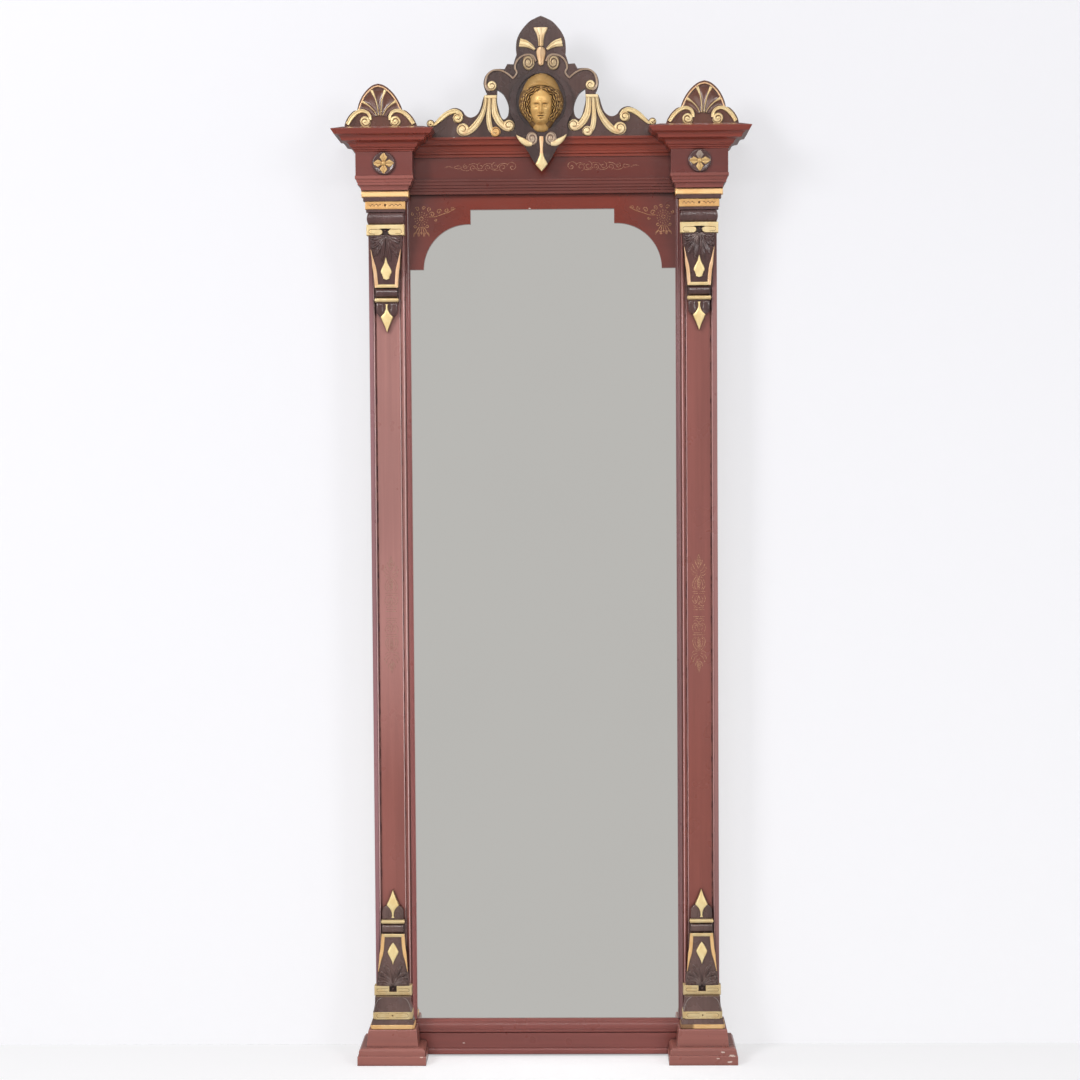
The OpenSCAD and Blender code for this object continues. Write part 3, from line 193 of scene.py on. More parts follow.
# ---- Iron: wall plates, their screws and the backboard nails ----
# Rolled iron let into the top rail, and cut nails with flat heads. Dull and dark, rusted in
# patches.

iron, shader, where = finish_start("old_iron")
rust = ramp(noise(where, 160.0, 6.0, 0.7), 0.45, 0.62)
feed(shader, {"Base Color": blend(rust, (0.075, 0.07, 0.066, 1), (0.17, 0.065, 0.03, 1)),
              "Metallic": minus(1.0, rust), "Roughness": plus(times(rust, 0.35), 0.45),
              "Normal": bump(rust, 0.4, 0.0004)})
dress(iron, "back_nails", "wall_plates", "plate_screws")


# ---- Mirror plate ----
# One sheet of silvered plate glass, dropped into the rebate from behind. Its old silvering is
# a little warm, with a faint darker bloom that gathers here and there.

silvered, shader, where = finish_start("silvered_glass")
bloom = ramp(noise(where, 2.4, 5.0, 0.6), 0.35, 0.8)
feed(shader, {"Base Color": blend(bloom, (0.950, 0.933, 0.890, 1), (0.938, 0.922, 0.880, 1)),
              "Metallic": 1.0, "Roughness": 0.03})
dress(silvered, "mirror_glass")


# ---- Pilasters ----
# Long boards with a raised outer moulding, a bead and a sight moulding glued on. Red-stained
# hardwood with the grain upright, under a glossy spirit varnish gone purplish.

# A small chip where the pale ground shows: inside a ragged flat ball round a place on the piece
chip, given, end = effect("chip", {"Where": "Vector", "Place": "Vector", "Size": "Float"},
                          {"Mask": "Float"})
apart = add("VectorMath", {0: given["Where"], 1: given["Place"]}, operation="SUBTRACT")["Vector"]
away = add("VectorMath", {0: stretched(apart, (1, 1, 3))}, operation="LENGTH")["Value"]
reach = times(given["Size"], 1.6)
ragged = times(noise(given["Where"], 420.0, 2.0), reach)
feed(end, {"Mask": maths("LESS_THAN", plus(away, ragged), reach)})


GRAIN_TONES = (0.83, 1.15)     # dark and light of the grain, as shares of a wood's usual colour
PALE_GROUND = (0.72, 0.56, 0.49, 1)                    # bare filler that shows in a chip


def red_wood(name, turn, mean, streaks=0.35, chips=(), rub_and_sheen=(0.46, 0.19, 0.15, 1), other=None,
             edge=0.0022, gloss=1.0):
    """Stained and varnished hardwood. Mean is its usual colour, chips holds the place and size
    of each nick in metres, edge is how far the pale edges reach, which stand for wear and a
    painted highlight, and gloss is the share of the varnish that is left. Other is an axis, two
    distances along it from the middle, and the colour that the wood changes to from the first to
    the second, which gives a painted sheen on some pieces and a painted shade on others."""
    made, shader, where = finish_start(name)
    tones = [shade(mean, factor) for factor in GRAIN_TONES]
    if other:
        axis_name, near, far, colour = other
        place = add("SeparateXYZ", {0: where})[axis_name]
        share = ramp(maths("ABSOLUTE", place), near, far)
        tones = [blend(share, tone, shade(colour, factor)) for tone, factor in zip(tones, GRAIN_TONES)]
    wood = wood_grain(where, turn, *tones, streaks)
    marks = use(wear_and_shade, Where=where, Edge=edge, Hollow=0.009)
    # Edges turn towards the pale edge colour, for wear and a painted highlight, and hollows turn nearly
    # black, for dirt and painted shade
    tint = blend(times(marks["WearAndSheen"], 0.55), wood["Color"], rub_and_sheen)
    tint = blend(times(marks["DirtAndShade"], 0.9), tint, (0.028, 0.008, 0.007, 1))
    for place, size in chips:
        tint = blend(use(chip, Where=where, Place=place, Size=size)["Mask"], tint, PALE_GROUND)
    feed(shader, {"Base Color": tint, "Coat Weight": 0.40 * gloss, "Coat Roughness": 0.09,
                  "Roughness": plus(times(noise(where, 11.0, 3.0), 0.20), 0.7 - 0.5 * gloss),
                  "Normal": bump(wood["Height"], 0.14, 0.0004, radius=0.0015)})
    return made


# The left board and sight moulding are lighter than the right ones, a painted sheen from the light on the
# left, and the left board grows paler still from 0.65 m to 1.15 m up. The pale pink of the edge mouldings
# is partly painted sheen. From 1.9 m up the edge and sight mouldings darken: painted shade under the caps.
for side, mean, upper_sheen, edge, sight in (
        ("_left", (0.285, 0.090, 0.072), (0.400, 0.180, 0.160), (0.300, 0.140, 0.150),
         (0.395, 0.120, 0.110)),
        ("_right", (0.258, 0.068, 0.050), (0.250, 0.078, 0.064), (0.330, 0.150, 0.140),
         (0.235, 0.105, 0.105))):
    for part, usual, other, nodes in (
            ("pilaster", mean, ("Z", 0.65, 1.15, upper_sheen), ("pilaster_board", "panel_bead")),
            ("edge", edge, ("Z", 1.90, 2.12, (0.150, 0.045, 0.040)), ("edge_moulding",)),
            ("sight", sight, ("Z", 1.90, 2.08, (0.130, 0.032, 0.028)), ("sight_moulding",))):
        dress(red_wood("red_wood_" + part + side, "z", usual, other=other),
              *(node + side for node in nodes))


# ---- Bottom rail, entablature and spandrel board ----
# Level boards between the pilasters: rail face and its mouldings, stepped architrave, plain
# frieze, crown cornice, and the fretted spandrel board, which is redder where light falls.

dress(red_wood("red_wood_rail", "x", (0.262, 0.070, 0.058),
               chips=[((-0.220, 0.026, 0.034), 0.004)]), "rail_face", "rail_moulding", "foot_bead")
dress(red_wood("red_wood_frieze", "x", (0.134, 0.016, 0.008), 0.2), "frieze")
dress(red_wood("red_wood_architrave", "x", (0.142, 0.025, 0.016), 0.1), "architrave")
dress(red_wood("red_wood_cornice", "x", (0.226, 0.028, 0.010), 0.1,
               [((-0.224, 0.0, 2.381), 0.0035)]), "cornice")
spandrel_shade = ("X", 0.16, 0.36, (0.115, 0.026, 0.020))
dress(red_wood("red_wood_spandrel", "x", (0.205, 0.020, 0.005), 0.2,
               [((-0.032, 0.040, 2.203), 0.0035)], other=spandrel_shade), "spandrel_board")


# ---- Incised ornament of the frieze, spandrels and pilasters ----
# Scratched lines filled with gold size, now mostly rubbed off. Each line is a thin bead that
# stands a hair above the varnish, so that it shows as worn gold.

WALL_Y = 86.0                  # distance from the object's middle plane to the wall


def smooth_path(points, count):
    """Curve through the points, each span the cubic that takes its slope from the neighbours,
    read again at equal steps of its length."""
    p = np.asarray(points, float)
    k = np.vstack([2 * p[0] - p[1], p, 2 * p[-1] - p[-2]])
    s = np.linspace(0, len(p) - 1, 40 * len(p))
    i = np.minimum(s.astype(int), len(p) - 2)
    t = (s - i)[:, None]
    a, b, c, d = k[i], k[i + 1], k[i + 2], k[i + 3]
    q = 0.5 * (2 * b + (c - a) * t + (2 * a - 5 * b + 4 * c - d) * t ** 2
               + (3 * b - a - 3 * c + d) * t ** 3)
    return even(q, count)


def even(path, count):
    """The same curve, read at equal steps of its length."""
    run = np.r_[0, np.cumsum(np.linalg.norm(np.diff(path, axis=0), axis=1))]
    steps = np.linspace(0, run[-1], count)
    return np.column_stack([np.interp(steps, run, path[:, j]) for j in range(path.shape[1])])


def rounded(s):
    return np.sqrt(np.clip(1 - s ** 2, 0, 1))


def strand(path, half, rise, base, form=rounded, columns=15, dip=1.0):
    """Carved member that follows a path on a face. Across it, the height over the base is the
    rise times the form of s, where s goes from -1 to 1 between its edges. Two points under the
    face close the section. Returns the grid and how deep in a groove or edge each point lies."""
    path = np.asarray(path, float)
    count = len(path)
    half = np.broadcast_to(half, count)[:, None]
    rise = np.broadcast_to(rise, count)[:, None]
    base = np.broadcast_to(base, count)[:, None]
    way = np.gradient(path, axis=0)
    way /= np.maximum(np.linalg.norm(way, axis=1), 1e-9)[:, None]
    s = np.sin(np.linspace(-math.pi / 2, math.pi / 2, columns))[None]
    height = np.broadcast_to(form(s), (count, columns))
    ring_s = np.hstack([s, [[1.0, -1.0]]])
    w = np.hstack([base + rise * height, base - dip, base - dip])
    x = path[:, :1] - half * ring_s * way[:, 1:]
    z = path[:, 1:] + half * ring_s * way[:, :1]
    deep = np.hstack([1 - height, np.ones((count, 2))])
    return np.stack([x, w, z], axis=2), deep


def tips(count, first, last):
    """Factor that is 1 along the middle and rounds to nothing over the first and last shares."""
    t = np.linspace(0, 1, count)
    fall = np.minimum(1, np.minimum(t / max(first, 1e-6), (1 - t) / max(last, 1e-6)))
    return np.sqrt(np.clip(1 - (1 - fall) ** 2, 0.0004, 1))


def flipped(shells):
    """The same shells on the other side of the middle plane."""
    return [(grid * (-1, 1, 1), deep) for grid, deep in shells]


def mirrored(shells):
    """The shells and the same ones on the other side."""
    return shells + flipped(shells)


def shifted(shells, x, z):
    return [(grid + (x, 0, z), deep) for grid, deep in shells]


def link(name, data):
    """New object in the scene."""
    made = bpy.data.objects.new(name, data)
    bpy.context.scene.collection.objects.link(made)
    return made


def piece(name, shells, material, stands_for=(), sharp=38):
    """One mesh of closed shells. Each grid's rows are rings, joined round and along, and both
    ends are closed by a fan. A shell whose volume comes out negative has its faces turned."""
    points, faces, deeps, first = [], [], [], 0
    for grid, deep in shells:
        rows, columns = grid.shape[:2]
        flat = np.vstack([grid.reshape(-1, 3), grid[0].mean(0)[None], grid[-1].mean(0)[None]])
        i, j = np.meshgrid(np.arange(rows - 1), np.arange(columns), indexing="ij")
        k = (j + 1) % columns
        quads = np.stack([i * columns + j, i * columns + k, (i + 1) * columns + k,
                          (i + 1) * columns + j], axis=2).reshape(-1, 4)
        tris = np.vstack([quads[:, [0, 1, 2]], quads[:, [0, 2, 3]]])
        j, last = np.arange(columns), (rows - 1) * columns
        k = (j + 1) % columns
        hub = np.full(columns, rows * columns)
        fans = np.vstack([np.column_stack([k, j, hub]), np.column_stack([last + j, last + k, hub + 1])])
        every = np.vstack([tris, fans])
        a, b, c = (flat[every[:, n]] for n in range(3))
        if (a * np.cross(b, c)).sum() > 0:           # w points against y, so the sign turns
            quads, fans = quads[:, ::-1], fans[:, ::-1]
        faces += (quads + first).tolist() + (fans + first).tolist()
        points.append(flat)
        deeps.append(np.r_[deep.reshape(-1), 1.0, 1.0])
        first += len(flat)
    points = np.vstack(points)
    points = np.column_stack([points[:, 0], WALL_Y - points[:, 1], points[:, 2]]) / 1000
    mesh = bpy.data.meshes.new(name)
    mesh.from_pydata(points, [], faces)
    mesh.attributes.new("deep", "FLOAT", "POINT").data.foreach_set(
        "value", np.concatenate(deeps).astype(np.float32))
    mesh.polygons.foreach_set("use_smooth", np.ones(len(faces), bool))
    mesh.set_sharp_from_angle(angle=math.radians(sharp))
    mesh.materials.append(material)
    made = link(name, mesh)
    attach(made, "root")
    if stands_for:
        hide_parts(*stands_for)


def rubbed_line(name, left, gold=(0.62, 0.37, 0.21, 1), ground=(0.21, 0.065, 0.042, 1)):
    """Gold line worn down to its ground. Left says how much of the gold is left."""
    made, shader, where = finish_start(name)
    gone = ramp(noise(where, 520.0, 4.0, 0.7), left - 0.08, left + 0.14)
    feed(shader, {"Base Color": blend(gone, gold, ground), "Roughness": 0.5, "Metallic": 0.2})
    return made


line_rise = 0.22               # how far a line stands above the varnish


def lines(paths, face, half):
    """Thin beads along the paths, on a face at that distance from the wall."""
    return [strand(path, half * tips(len(path), 0.1, 0.1), line_rise, face, columns=5, dip=0.3)
            for path in paths]


def curl(x, z, r, turns, start, way, count=44):
    """Spiral that winds in from radius r to a fifth of it."""
    t = np.linspace(0, 1, count)
    angle = math.radians(start) + way * 2 * math.pi * turns * t
    radius = r * (1 - 0.8 * t)
    return np.column_stack([x + radius * np.cos(angle), z + radius * np.sin(angle)])


# Frieze: a stem that winds outwards from a large curl, with smaller curls on alternate sides
frieze_face, vine_z = 60.0, 2308.0
vine = [curl(76, vine_z, 14, 1.1, 0, 1), curl(76, vine_z - 1, 7.5, 1.0, 180, 1)]
for i, x in enumerate(np.linspace(100, 196, 6)):
    up = 1 if i % 2 else -1
    r = 10.5 - 0.6 * i + 1.4 * math.sin(2.4 * i)
    vine.append(curl(x, vine_z + up * 1.5, r, 1.1 + 0.1 * (i % 3), 90 * up, -up))
    vine.append(smooth_path([(x - 12, -6), (x - 4, -9), (x + 8, -7), (x + 13, -1)], 14) * (1, up)
                + (0, vine_z))
vine.append(smooth_path([(206, 0), (214, 4), (226, 0), (214, -4), (206, 0)], 20) + (0, vine_z))
vine.append(smooth_path([(228, -2), (238, 2), (250, 0)], 14) + (0, vine_z))
vine_shells = lines(vine, frieze_face, 0.55)

# Spandrels: a burst of three rings of short strokes, with loops below it and curls round it, and
# a stem with more curls that runs inwards. Drawn from the middle of the burst on the right.
burst_mid, spandrel_face = np.array((312.0, 2179.0)), 46.0
burst = []
for first, last, number, offset in ((2.5, 7, 8, 0), (9.5, 12, 12, 9), (14.5, 18.5, 15, 0)):
    for a in np.radians(np.linspace(0, 360, number, endpoint=False) + offset):
        ray = np.array((math.cos(a), math.sin(a)))
        burst.append(np.linspace(first * ray, last * ray, 6))
for x in (-17, -8, 0, 8, 17):
    burst.append(smooth_path([(0.3 * x, -20), (0.7 * x, -30), (x, -41)], 16))
for x in (-14, 0, 14):
    burst.append(smooth_path([(x - 6, -46), (x - 4, -37), (x + 4, -37), (x + 6, -46)], 20))
burst += [curl(*place) for place in (
    (-28, 11, 7, 1.2, 0, 1), (-46, 18, 7, 1.2, 180, -1), (-64, 21, 6, 1.1, 90, 1),
    (-80, 25, 4.5, 1.0, 180, -1), (-38, -3, 4, 1.0, 0, -1), (-21, 24, 6, 1.2, 270, 1),
    (-6, 27, 5, 1.1, 180, -1), (10, 25, 6, 1.2, 0, 1), (22, 12, 4.5, 1.1, 90, -1),
    (-15, -19, 5, 1.1, 0, -1), (16, -19, 5, 1.1, 180, 1))]
burst.append(smooth_path([(-19, 5), (-36, 5), (-54, 11), (-72, 17), (-89, 26)], 40))
burst_shells = lines([path + burst_mid for path in burst], spandrel_face, 0.66)

# Pilasters: a slim candelabrum of flames, wings and bells, with its mirror image below. Half of
# each line is drawn, from the middle of the ornament.
lamp_mid = (398.0, 1157.0)
half_lamp = [[(0, 153), (3, 141), (5, 129), (2, 119), (0, 115)], [(0, 143), (1.5, 134), (0, 124)],
             [(3.5, 124), (8, 130), (9.5, 138)], [(3, 108), (11, 116), (16, 127), (12, 121)],
             [(3, 103), (13, 107), (20, 117), (16, 119)], [(3, 99), (12, 98), (18, 103)],
             [(1.6, 98), (3.6, 80), (1.6, 60)], [(5, 96), (13, 85), (16, 70), (9, 59)],
             [(5, 88), (9.5, 79), (10, 67), (6, 62)], [(0, 92), (1.2, 80), (0, 66)],
             [(0, 56), (17, 56)], [(0, 51), (14, 51)],
             [(14, 48), (17, 36), (11, 26), (5, 29), (7, 34)], [(0, 46), (3, 34), (0, 22)],
             [(5, 45), (10, 37), (8, 29)], [(2, 22), (9, 18), (14, 21)], [(0, 14), (12, 14)],
             [(0, 9), (15, 9)]]
lamp = [smooth_path(line, 22) * (s, up) + lamp_mid for line in half_lamp for up in (1, -1)
        for s in (1, -1)]
lamp_shells = lines(lamp, frieze_face, 0.6)

piece("frieze_vine", mirrored(vine_shells),
      rubbed_line("frieze_gold_line", 0.46, (0.52, 0.29, 0.17, 1)))
piece("spandrel_bursts", mirrored(burst_shells),
      rubbed_line("spandrel_gold_line", 0.50, (0.50, 0.27, 0.12, 1)))
piece("pilaster_ornament_right", lamp_shells, rubbed_line("rubbed_gold_line", 0.47))
# The left line's ground is lighter, to match the painted sheen on the left pilaster
piece("pilaster_ornament_left", flipped(lamp_shells),
      rubbed_line("faint_gold_line", 0.44, (0.36, 0.28, 0.19, 1), (0.30, 0.125, 0.10, 1)))


# ---- Reeds and quirks of the pilasters ----
# Thin half-round reeds along the bead, the panel and the edge moulding, coloured pale along
# their crowns as a painted highlight that is brighter on the left, with dark strips in the
# quirks beside them as painted shade. Glued or scratched along the whole length.

def upright(x, half, rise, base, ends=(90, 2240)):
    """Thin half-round strip from plinth to cap, or between other ends."""
    return strand(np.column_stack([np.full(40, x), np.linspace(*ends, 40)]), half, rise, base, columns=9)


reeds = [upright(358.2, 1.2, 1.4, 65.2), upright(368.5, 1.1, 1.5, 60.0), upright(434.6, 1.1, 1.4, 66.4)]
quirks = [upright(365.6, 1.5, 0.6, 60.0), upright(430.0, 1.3, 0.6, 60.0),
          upright(354.2, 1.6, 1.6, 58.6, (98, 2236))]
# Dark strips that stand for the shade in the quirks
quirk_shade = red_wood("painted_quirk_shade", "z", (0.085, 0.020, 0.018), gloss=0.3)
reed_shade = ("Z", 1.90, 2.10, (0.16, 0.045, 0.04))
# Pale reeds as a painted highlight, brighter on the left, and darker from 1.9 m up as painted shade
for side, put, mean in (("_left", flipped, (0.78, 0.52, 0.50)), ("_right", list, (0.66, 0.38, 0.37))):
    piece("pilaster_reeds" + side, put(reeds),
          red_wood("painted_highlight_reed" + side, "z", mean, other=reed_shade))
    piece("pilaster_quirks" + side, put(quirks), quirk_shade)


# ---- Plinths ----
# Built-up blocks at the foot of each pilaster, mitred and canted at the corners, with chips in
# the varnish where shoes and brooms have knocked them.

# The pale streaks along the rounded edges of the bases and the pale pink edges are partly chips and wear
# and partly painted highlights
dress(red_wood("red_wood_plinth", "x", (0.330, 0.115, 0.092),
               chips=[((0.468, -0.064, 0.009), 0.008), ((0.474, -0.060, 0.0245), 0.009),
                      ((0.450, -0.060, 0.0335), 0.0065), ((0.434, -0.062, 0.046), 0.0055),
                      ((0.438, -0.064, 0.018), 0.005), ((-0.324, -0.064, 0.022), 0.005)],
               rub_and_sheen=(0.66, 0.42, 0.37, 1), edge=0.0045), "plinth_left", "plinth_right")


# ---- Brackets: ebonised bodies ----
# Carved and turned hardwood, stained nearly black and waxed. The stain has gone brown and is
# rubbed grey along the ridges, which also carry a painted highlight. The hollows are darkened by
# dirt and painted shade.

def black_wood(name, mean=(0.078, 0.034, 0.031), dust=0.0, wear_and_sheen=0.6):
    """Old ebonised hardwood. The last two arguments are the shares of pale scuffs, which are dust,
    and of grey ridges, which are wear and a painted highlight.
    """
    made, shader, where = finish_start(name)
    wood = use(grain, Where=where, Dark=shade(mean, 0.62), Light=shade(mean, 1.3), Streaks=0.25)
    marks = use(wear_and_shade, Where=where, Edge=0.002, Hollow=0.010)
    tint = blend(times(marks["WearAndSheen"], wear_and_sheen), wood["Color"], (0.31, 0.225, 0.20, 1))
    # Hollows go nearly black: dirt and painted shade
    tint = blend(times(marks["DirtAndShade"], 0.7), tint, (0.014, 0.008, 0.007, 1))
    if dust:
        scuffs = ramp(noise(stretched(where, (38, 38, 17)), 1.0, 6.0, 0.7), 0.54, 0.74)
        tint = blend(times(scuffs, dust), tint, (0.33, 0.285, 0.285, 1))
    feed(shader, {"Base Color": tint, "Coat Weight": 0.32, "Coat Roughness": 0.13,
                  "Roughness": plus(times(noise(where, 24.0), 0.20), 0.17),
                  "Normal": bump(noise(where, 190.0, 3.0), 0.25, 0.0005, radius=0.001)})
    return made


ebonised = black_wood("ebonised_wood", wear_and_sheen=0.45)
ebonised_foot = black_wood("ebonised_foot", (0.125, 0.070, 0.060), 0.15)
dress(ebonised, "head_bracket_left", "head_bracket_right")
dress(ebonised_foot, "foot_bracket_left", "foot_bracket_right")

axis = 401.0                   # middle of a pilaster
corbel_tip = 30.0              # half width of a bracket's narrow end
head_wide, head_tip = 2133.0, 2000.0                   # heights of the ends of the head bracket
foot_wide, foot_tip = 193.5, 326.5                     # and of the foot bracket


def corbel_face(t):
    """Distance from the wall to a bracket's face: it falls from wide to narrow end as a smooth
    step of t, the share of the way along."""
    return 90.0 - 14.0 * t * t * (3 - 2 * t)


def on_corbel(shells, wide, tip):
    """Bends shells that were drawn over a flat base at 0 on to the face of a bracket."""
    return [(np.stack([grid[..., 0], grid[..., 1] + corbel_face((grid[..., 2] - wide) / (tip - wide)),
                       grid[..., 2]], axis=2), deep) for grid, deep in shells]


def hump(s, squareness, power=1.0):
    """Section that is 1 in the middle and 0 at its edges: the squarer, the flatter its top."""
    return np.clip(1 - np.abs(s) ** squareness, 0, 1) ** power


def ridged(s):
    """Leaf blade: a raised midrib, a hollow on each side of it and edges that turn up."""
    return hump(s, 5) * (0.42 + 0.50 * np.abs(s) ** 1.4 + 0.50 * np.exp(-(s / 0.16) ** 2))


def bead(x, z, base, r, rise):
    """Small dome."""
    t = np.linspace(0, 1, 12)
    path = np.column_stack([np.full(12, x), z + r * (2 * t - 1)])
    return strand(path, r * rounded(2 * t - 1) + 0.05, rise * rounded(2 * t - 1) + 0.02, base)


# Carved leaves at the wide end: ribs that fan out from the notch, each with its angle from the
# middle line, its length and how far it curls outwards. Acanthus on the head, lily on the foot.
acanthus = [(78, 37, 6), (59, 43, 10), (41, 52, 10), (23, 62, 6), (7, 67, 2)]
lily = [(86, 36, -4), (66, 43, 14), (46, 48, 22), (27, 52, 22), (9, 56, 14)]


def corbel_leaves(ribs, wide, tip):
    way = 1 if tip > wide else -1
    made = []
    for angle, length, curl_out in ribs:
        out = np.linspace(0, 1, 60)
        a = np.radians(angle + curl_out * out ** 2)
        x, z = 2.0 + length * out * np.sin(a), 1.0 + length * out * np.cos(a)
        x = x - np.maximum(x + 5 - (42 - 0.13 * z), 0) * 0.8
        half = (2.4 + 4.9 * out) * tips(60, 0.1, 0.5)
        for s in (1, -1):
            made.append(strand(np.column_stack([s * x, wide + way * z]), half,
                               (3.6 + 2.2 * out) * tips(60, 0.1, 0.4), 0.0, ridged, 25))
    return on_corbel(made, wide, tip)


def leaf_lobes(z, way):
    """Two rounded lobes with a hollow between them, on the leaf at the small end."""
    path = smooth_path([(17, 1), (18.5, 14), (13.6, 36)], 30)
    return [strand(path * (s, way) + (0, z), 9.0 * tips(30, 0.15, 0.45), 2.8 * tips(30, 0.2, 0.5), 73.6)
            for s in (1, -1)]


for name, ribs, wide, tip, bead_in, stain in (
        ("head", acanthus, head_wide, head_tip, 12, ebonised),
        ("foot", lily, foot_wide, foot_tip, 8, ebonised_foot)):
    way = 1 if tip > wide else -1
    leaves = corbel_leaves(ribs, wide, tip) + leaf_lobes(tip + way * 37, way)
    leaves = shifted(leaves + [bead(0, wide - way * bead_in, 88.5, 2.8, 4.0)], axis, 0)
    # The right head bracket's leaves take more pale scuffs and grey ridges than the left's: dust and a
    # painted highlight
    dust_and_sheen = black_wood("dust_and_sheen_leaves", dust=0.7, wear_and_sheen=0.9) if name == "head" else stain
    piece(name + "_bracket_leaves_right", leaves, dust_and_sheen)
    piece(name + "_bracket_leaves_left", flipped(leaves), stain)

# Pale ridges as a painted highlight, where the hollow under the foot's fret block turns the corners
painted_highlight_ridge = black_wood("painted_highlight_ridge", (0.30, 0.235, 0.215), 0.3)
path = smooth_path([(27, 167), (36, 162), (42, 153), (45.5, 143), (47.5, 131.5)], 50)
t = (path[:, 1] - 130.5) / 38
ridges = shifted([strand(path * (s, 1), tips(50, 0.3, 0.3), 1.3 * tips(50, 0.3, 0.3),
                         113.0 - 4.5 * t - 1.5 * np.sin(math.pi * t)) for s in (1, -1)], axis, 0)
piece("foot_bracket_ridges_right", ridges, painted_highlight_ridge)
piece("foot_bracket_ridges_left", flipped(ridges), painted_highlight_ridge)


# ---- Brackets: gilding ----
# Fillets, fret blocks, borders, drops and spearheads, carved and laid with gold leaf over a
# red ground. The leaf is pale lemon, rubbed through to brown along edges, and darkened in cut
# lines, on the sides of each member and in hollows by dirt and painted shade.

def gold_leaf(name, bright=(0.79, 0.62, 0.335), deep_tint=(0.17, 0.075, 0.035, 1), rub=0.5,
              ground=(0.60, 0.26, 0.12, 1)):
    """Laid gold over a coloured ground. The piece's own attribute says how deep a cut is and how
    much painted shade falls there; it darkens the gold.
    """
    made, shader, where = finish_start(name)
    cut = add("Attribute", tree=made.node_tree, attribute_name="deep")["Fac"]
    marks = use(wear_and_shade, Where=where, Edge=0.0015, Hollow=0.008)
    tint = blend(ramp(noise(where, 46.0, 4.0), 0.35, 0.7), opaque(bright),
                 opaque(c * f for c, f in zip(bright, (0.94, 0.86, 0.76))))
    # Edges go to the ground colour: wear, and on the mask a painted highlight
    tint = blend(times(marks["WearAndSheen"], rub), tint, ground)
    # Cut depth, dirt and painted shade darken the gold, and the deepest cuts go near black
    dark = plus(times(ramp(cut, 0.3, 0.9), 0.85), times(marks["DirtAndShade"], 0.8), clamp=True)
    tint = blend(dark, tint, deep_tint)
    feed(shader, {"Base Color": blend(ramp(cut, 1.4, 1.9), tint, (0.035, 0.016, 0.012, 1)),
                  "Metallic": minus(0.35, times(dark, 0.3)),
                  "Roughness": plus(times(noise(where, 90.0), 0.2), 0.32),
                  "Normal": bump(noise(where, 340.0, 2.0), 0.2, 0.0004, radius=0.0006)})
    return made


gilt = gold_leaf("gold_leaf")
pale_gilt = gold_leaf("pale_gold_leaf", (1.0, 0.81, 0.42), rub=0.35)
warm_gilt = gold_leaf("warm_gold_leaf", (0.96, 0.61, 0.28))
orange_gilt = gold_leaf("orange_gold_leaf", (0.70, 0.41, 0.16), rub=0.6)
pink_gilt = gold_leaf("pink_gold_leaf", (0.86, 0.56, 0.33), rub=0.7)


strip_w = 68.0                 # face of the edge moulding, which the brackets sit on
fret_half, fret_face = 48.5, 94.0
head_panel_z, foot_panel_z = 2209.8, 120.5
head_fillet, foot_fillet = (2230, 2246), (86.5, 98)    # heights of the outermost fillets


def plate(x0, x1, z0, z1, base, front, relief=None, columns=40, rows=120, soft=1.6):
    """Block whose front is a height field over x and z: the front less a quarter-round drop
    near its edges, plus the relief worked out at each point."""
    x = np.linspace(x0, x1, rows)[:, None]
    z = np.linspace(z0, z1, columns)[None]
    near = np.minimum(np.minimum(x - x0, x1 - x), np.minimum(z - z0, z1 - z))
    fall = np.clip(1 - near / soft, 0, 1)
    extra = relief(x, z) if relief else np.zeros((rows, columns))
    w = front - soft * (1 - np.sqrt(1 - fall ** 2)) + extra
    grid = np.stack(np.broadcast_arrays(x, w, z), axis=2)
    ring = np.concatenate([grid, grid[:, -1:] * (1, 0, 1) + (0, base, 0),
                           grid[:, :1] * (1, 0, 1) + (0, base, 0)], axis=1)
    deep = np.clip(-extra / 0.9, 0, 1) + np.clip(-extra / 2 - 1, 0, 1)
    deep = np.hstack([deep + 0.3 * fall, np.zeros((rows, 2))])
    return ring, deep


def cut_line(distance, depth=0.9, width=0.75):
    """Groove whose depth falls off as a bell with the distance from its line."""
    return -depth * np.exp(-(distance / width) ** 2)


def step(value, sharp=2.5):
    """0 to 1 as the value passes 0, over about a millimetre."""
    return 1 / (1 + np.exp(np.clip(-value * sharp, -40, 40)))


def head_fret(x, z):
    """A bar along the top, and under it two tabs with round inner ends and a notch between. A
    groove runs out over each tab from the notch, round its outer end and part of the way back."""
    side = np.abs(x)
    inside = np.hypot(np.maximum(14.6 - side, 0), z - 2141) - 7.8
    out = -7.0 * step(inside) * (side < 14) * (z < 2149.5)
    loop = np.abs(np.hypot(np.maximum(side - 36, 0), z - 2142) - 5.8)
    return out + cut_line(loop, 0.9) * (side > 14) * ((z > 2142) | (side > 26))


def open_loops(cz, half_z, inner, outer):
    """Two long loops, round at their outer ends and open towards the middle."""
    def relief(x, z):
        side = np.abs(x)
        ring = np.abs(np.hypot(np.maximum(side - outer + half_z, 0), z - cz) - half_z)
        return cut_line(ring, 0.9) * (side > inner)
    return relief


def foot_fret(x, z):
    """Open loops beside a square notch that comes down from the top."""
    notch = np.minimum(8.9 - np.abs(x), z - 178.5)
    return open_loops(181.8, 4.0, 14.0, 42.0)(x, z) - 7.0 * step(notch, 4.0)


def foot_panel(x, z):
    """Open loops beside a small drilled hole."""
    hole = np.hypot(x, z - foot_panel_z)
    return open_loops(foot_panel_z, 5.2, 8.0, 41.0)(x, z) + cut_line(hole, 3.0, 1.6)


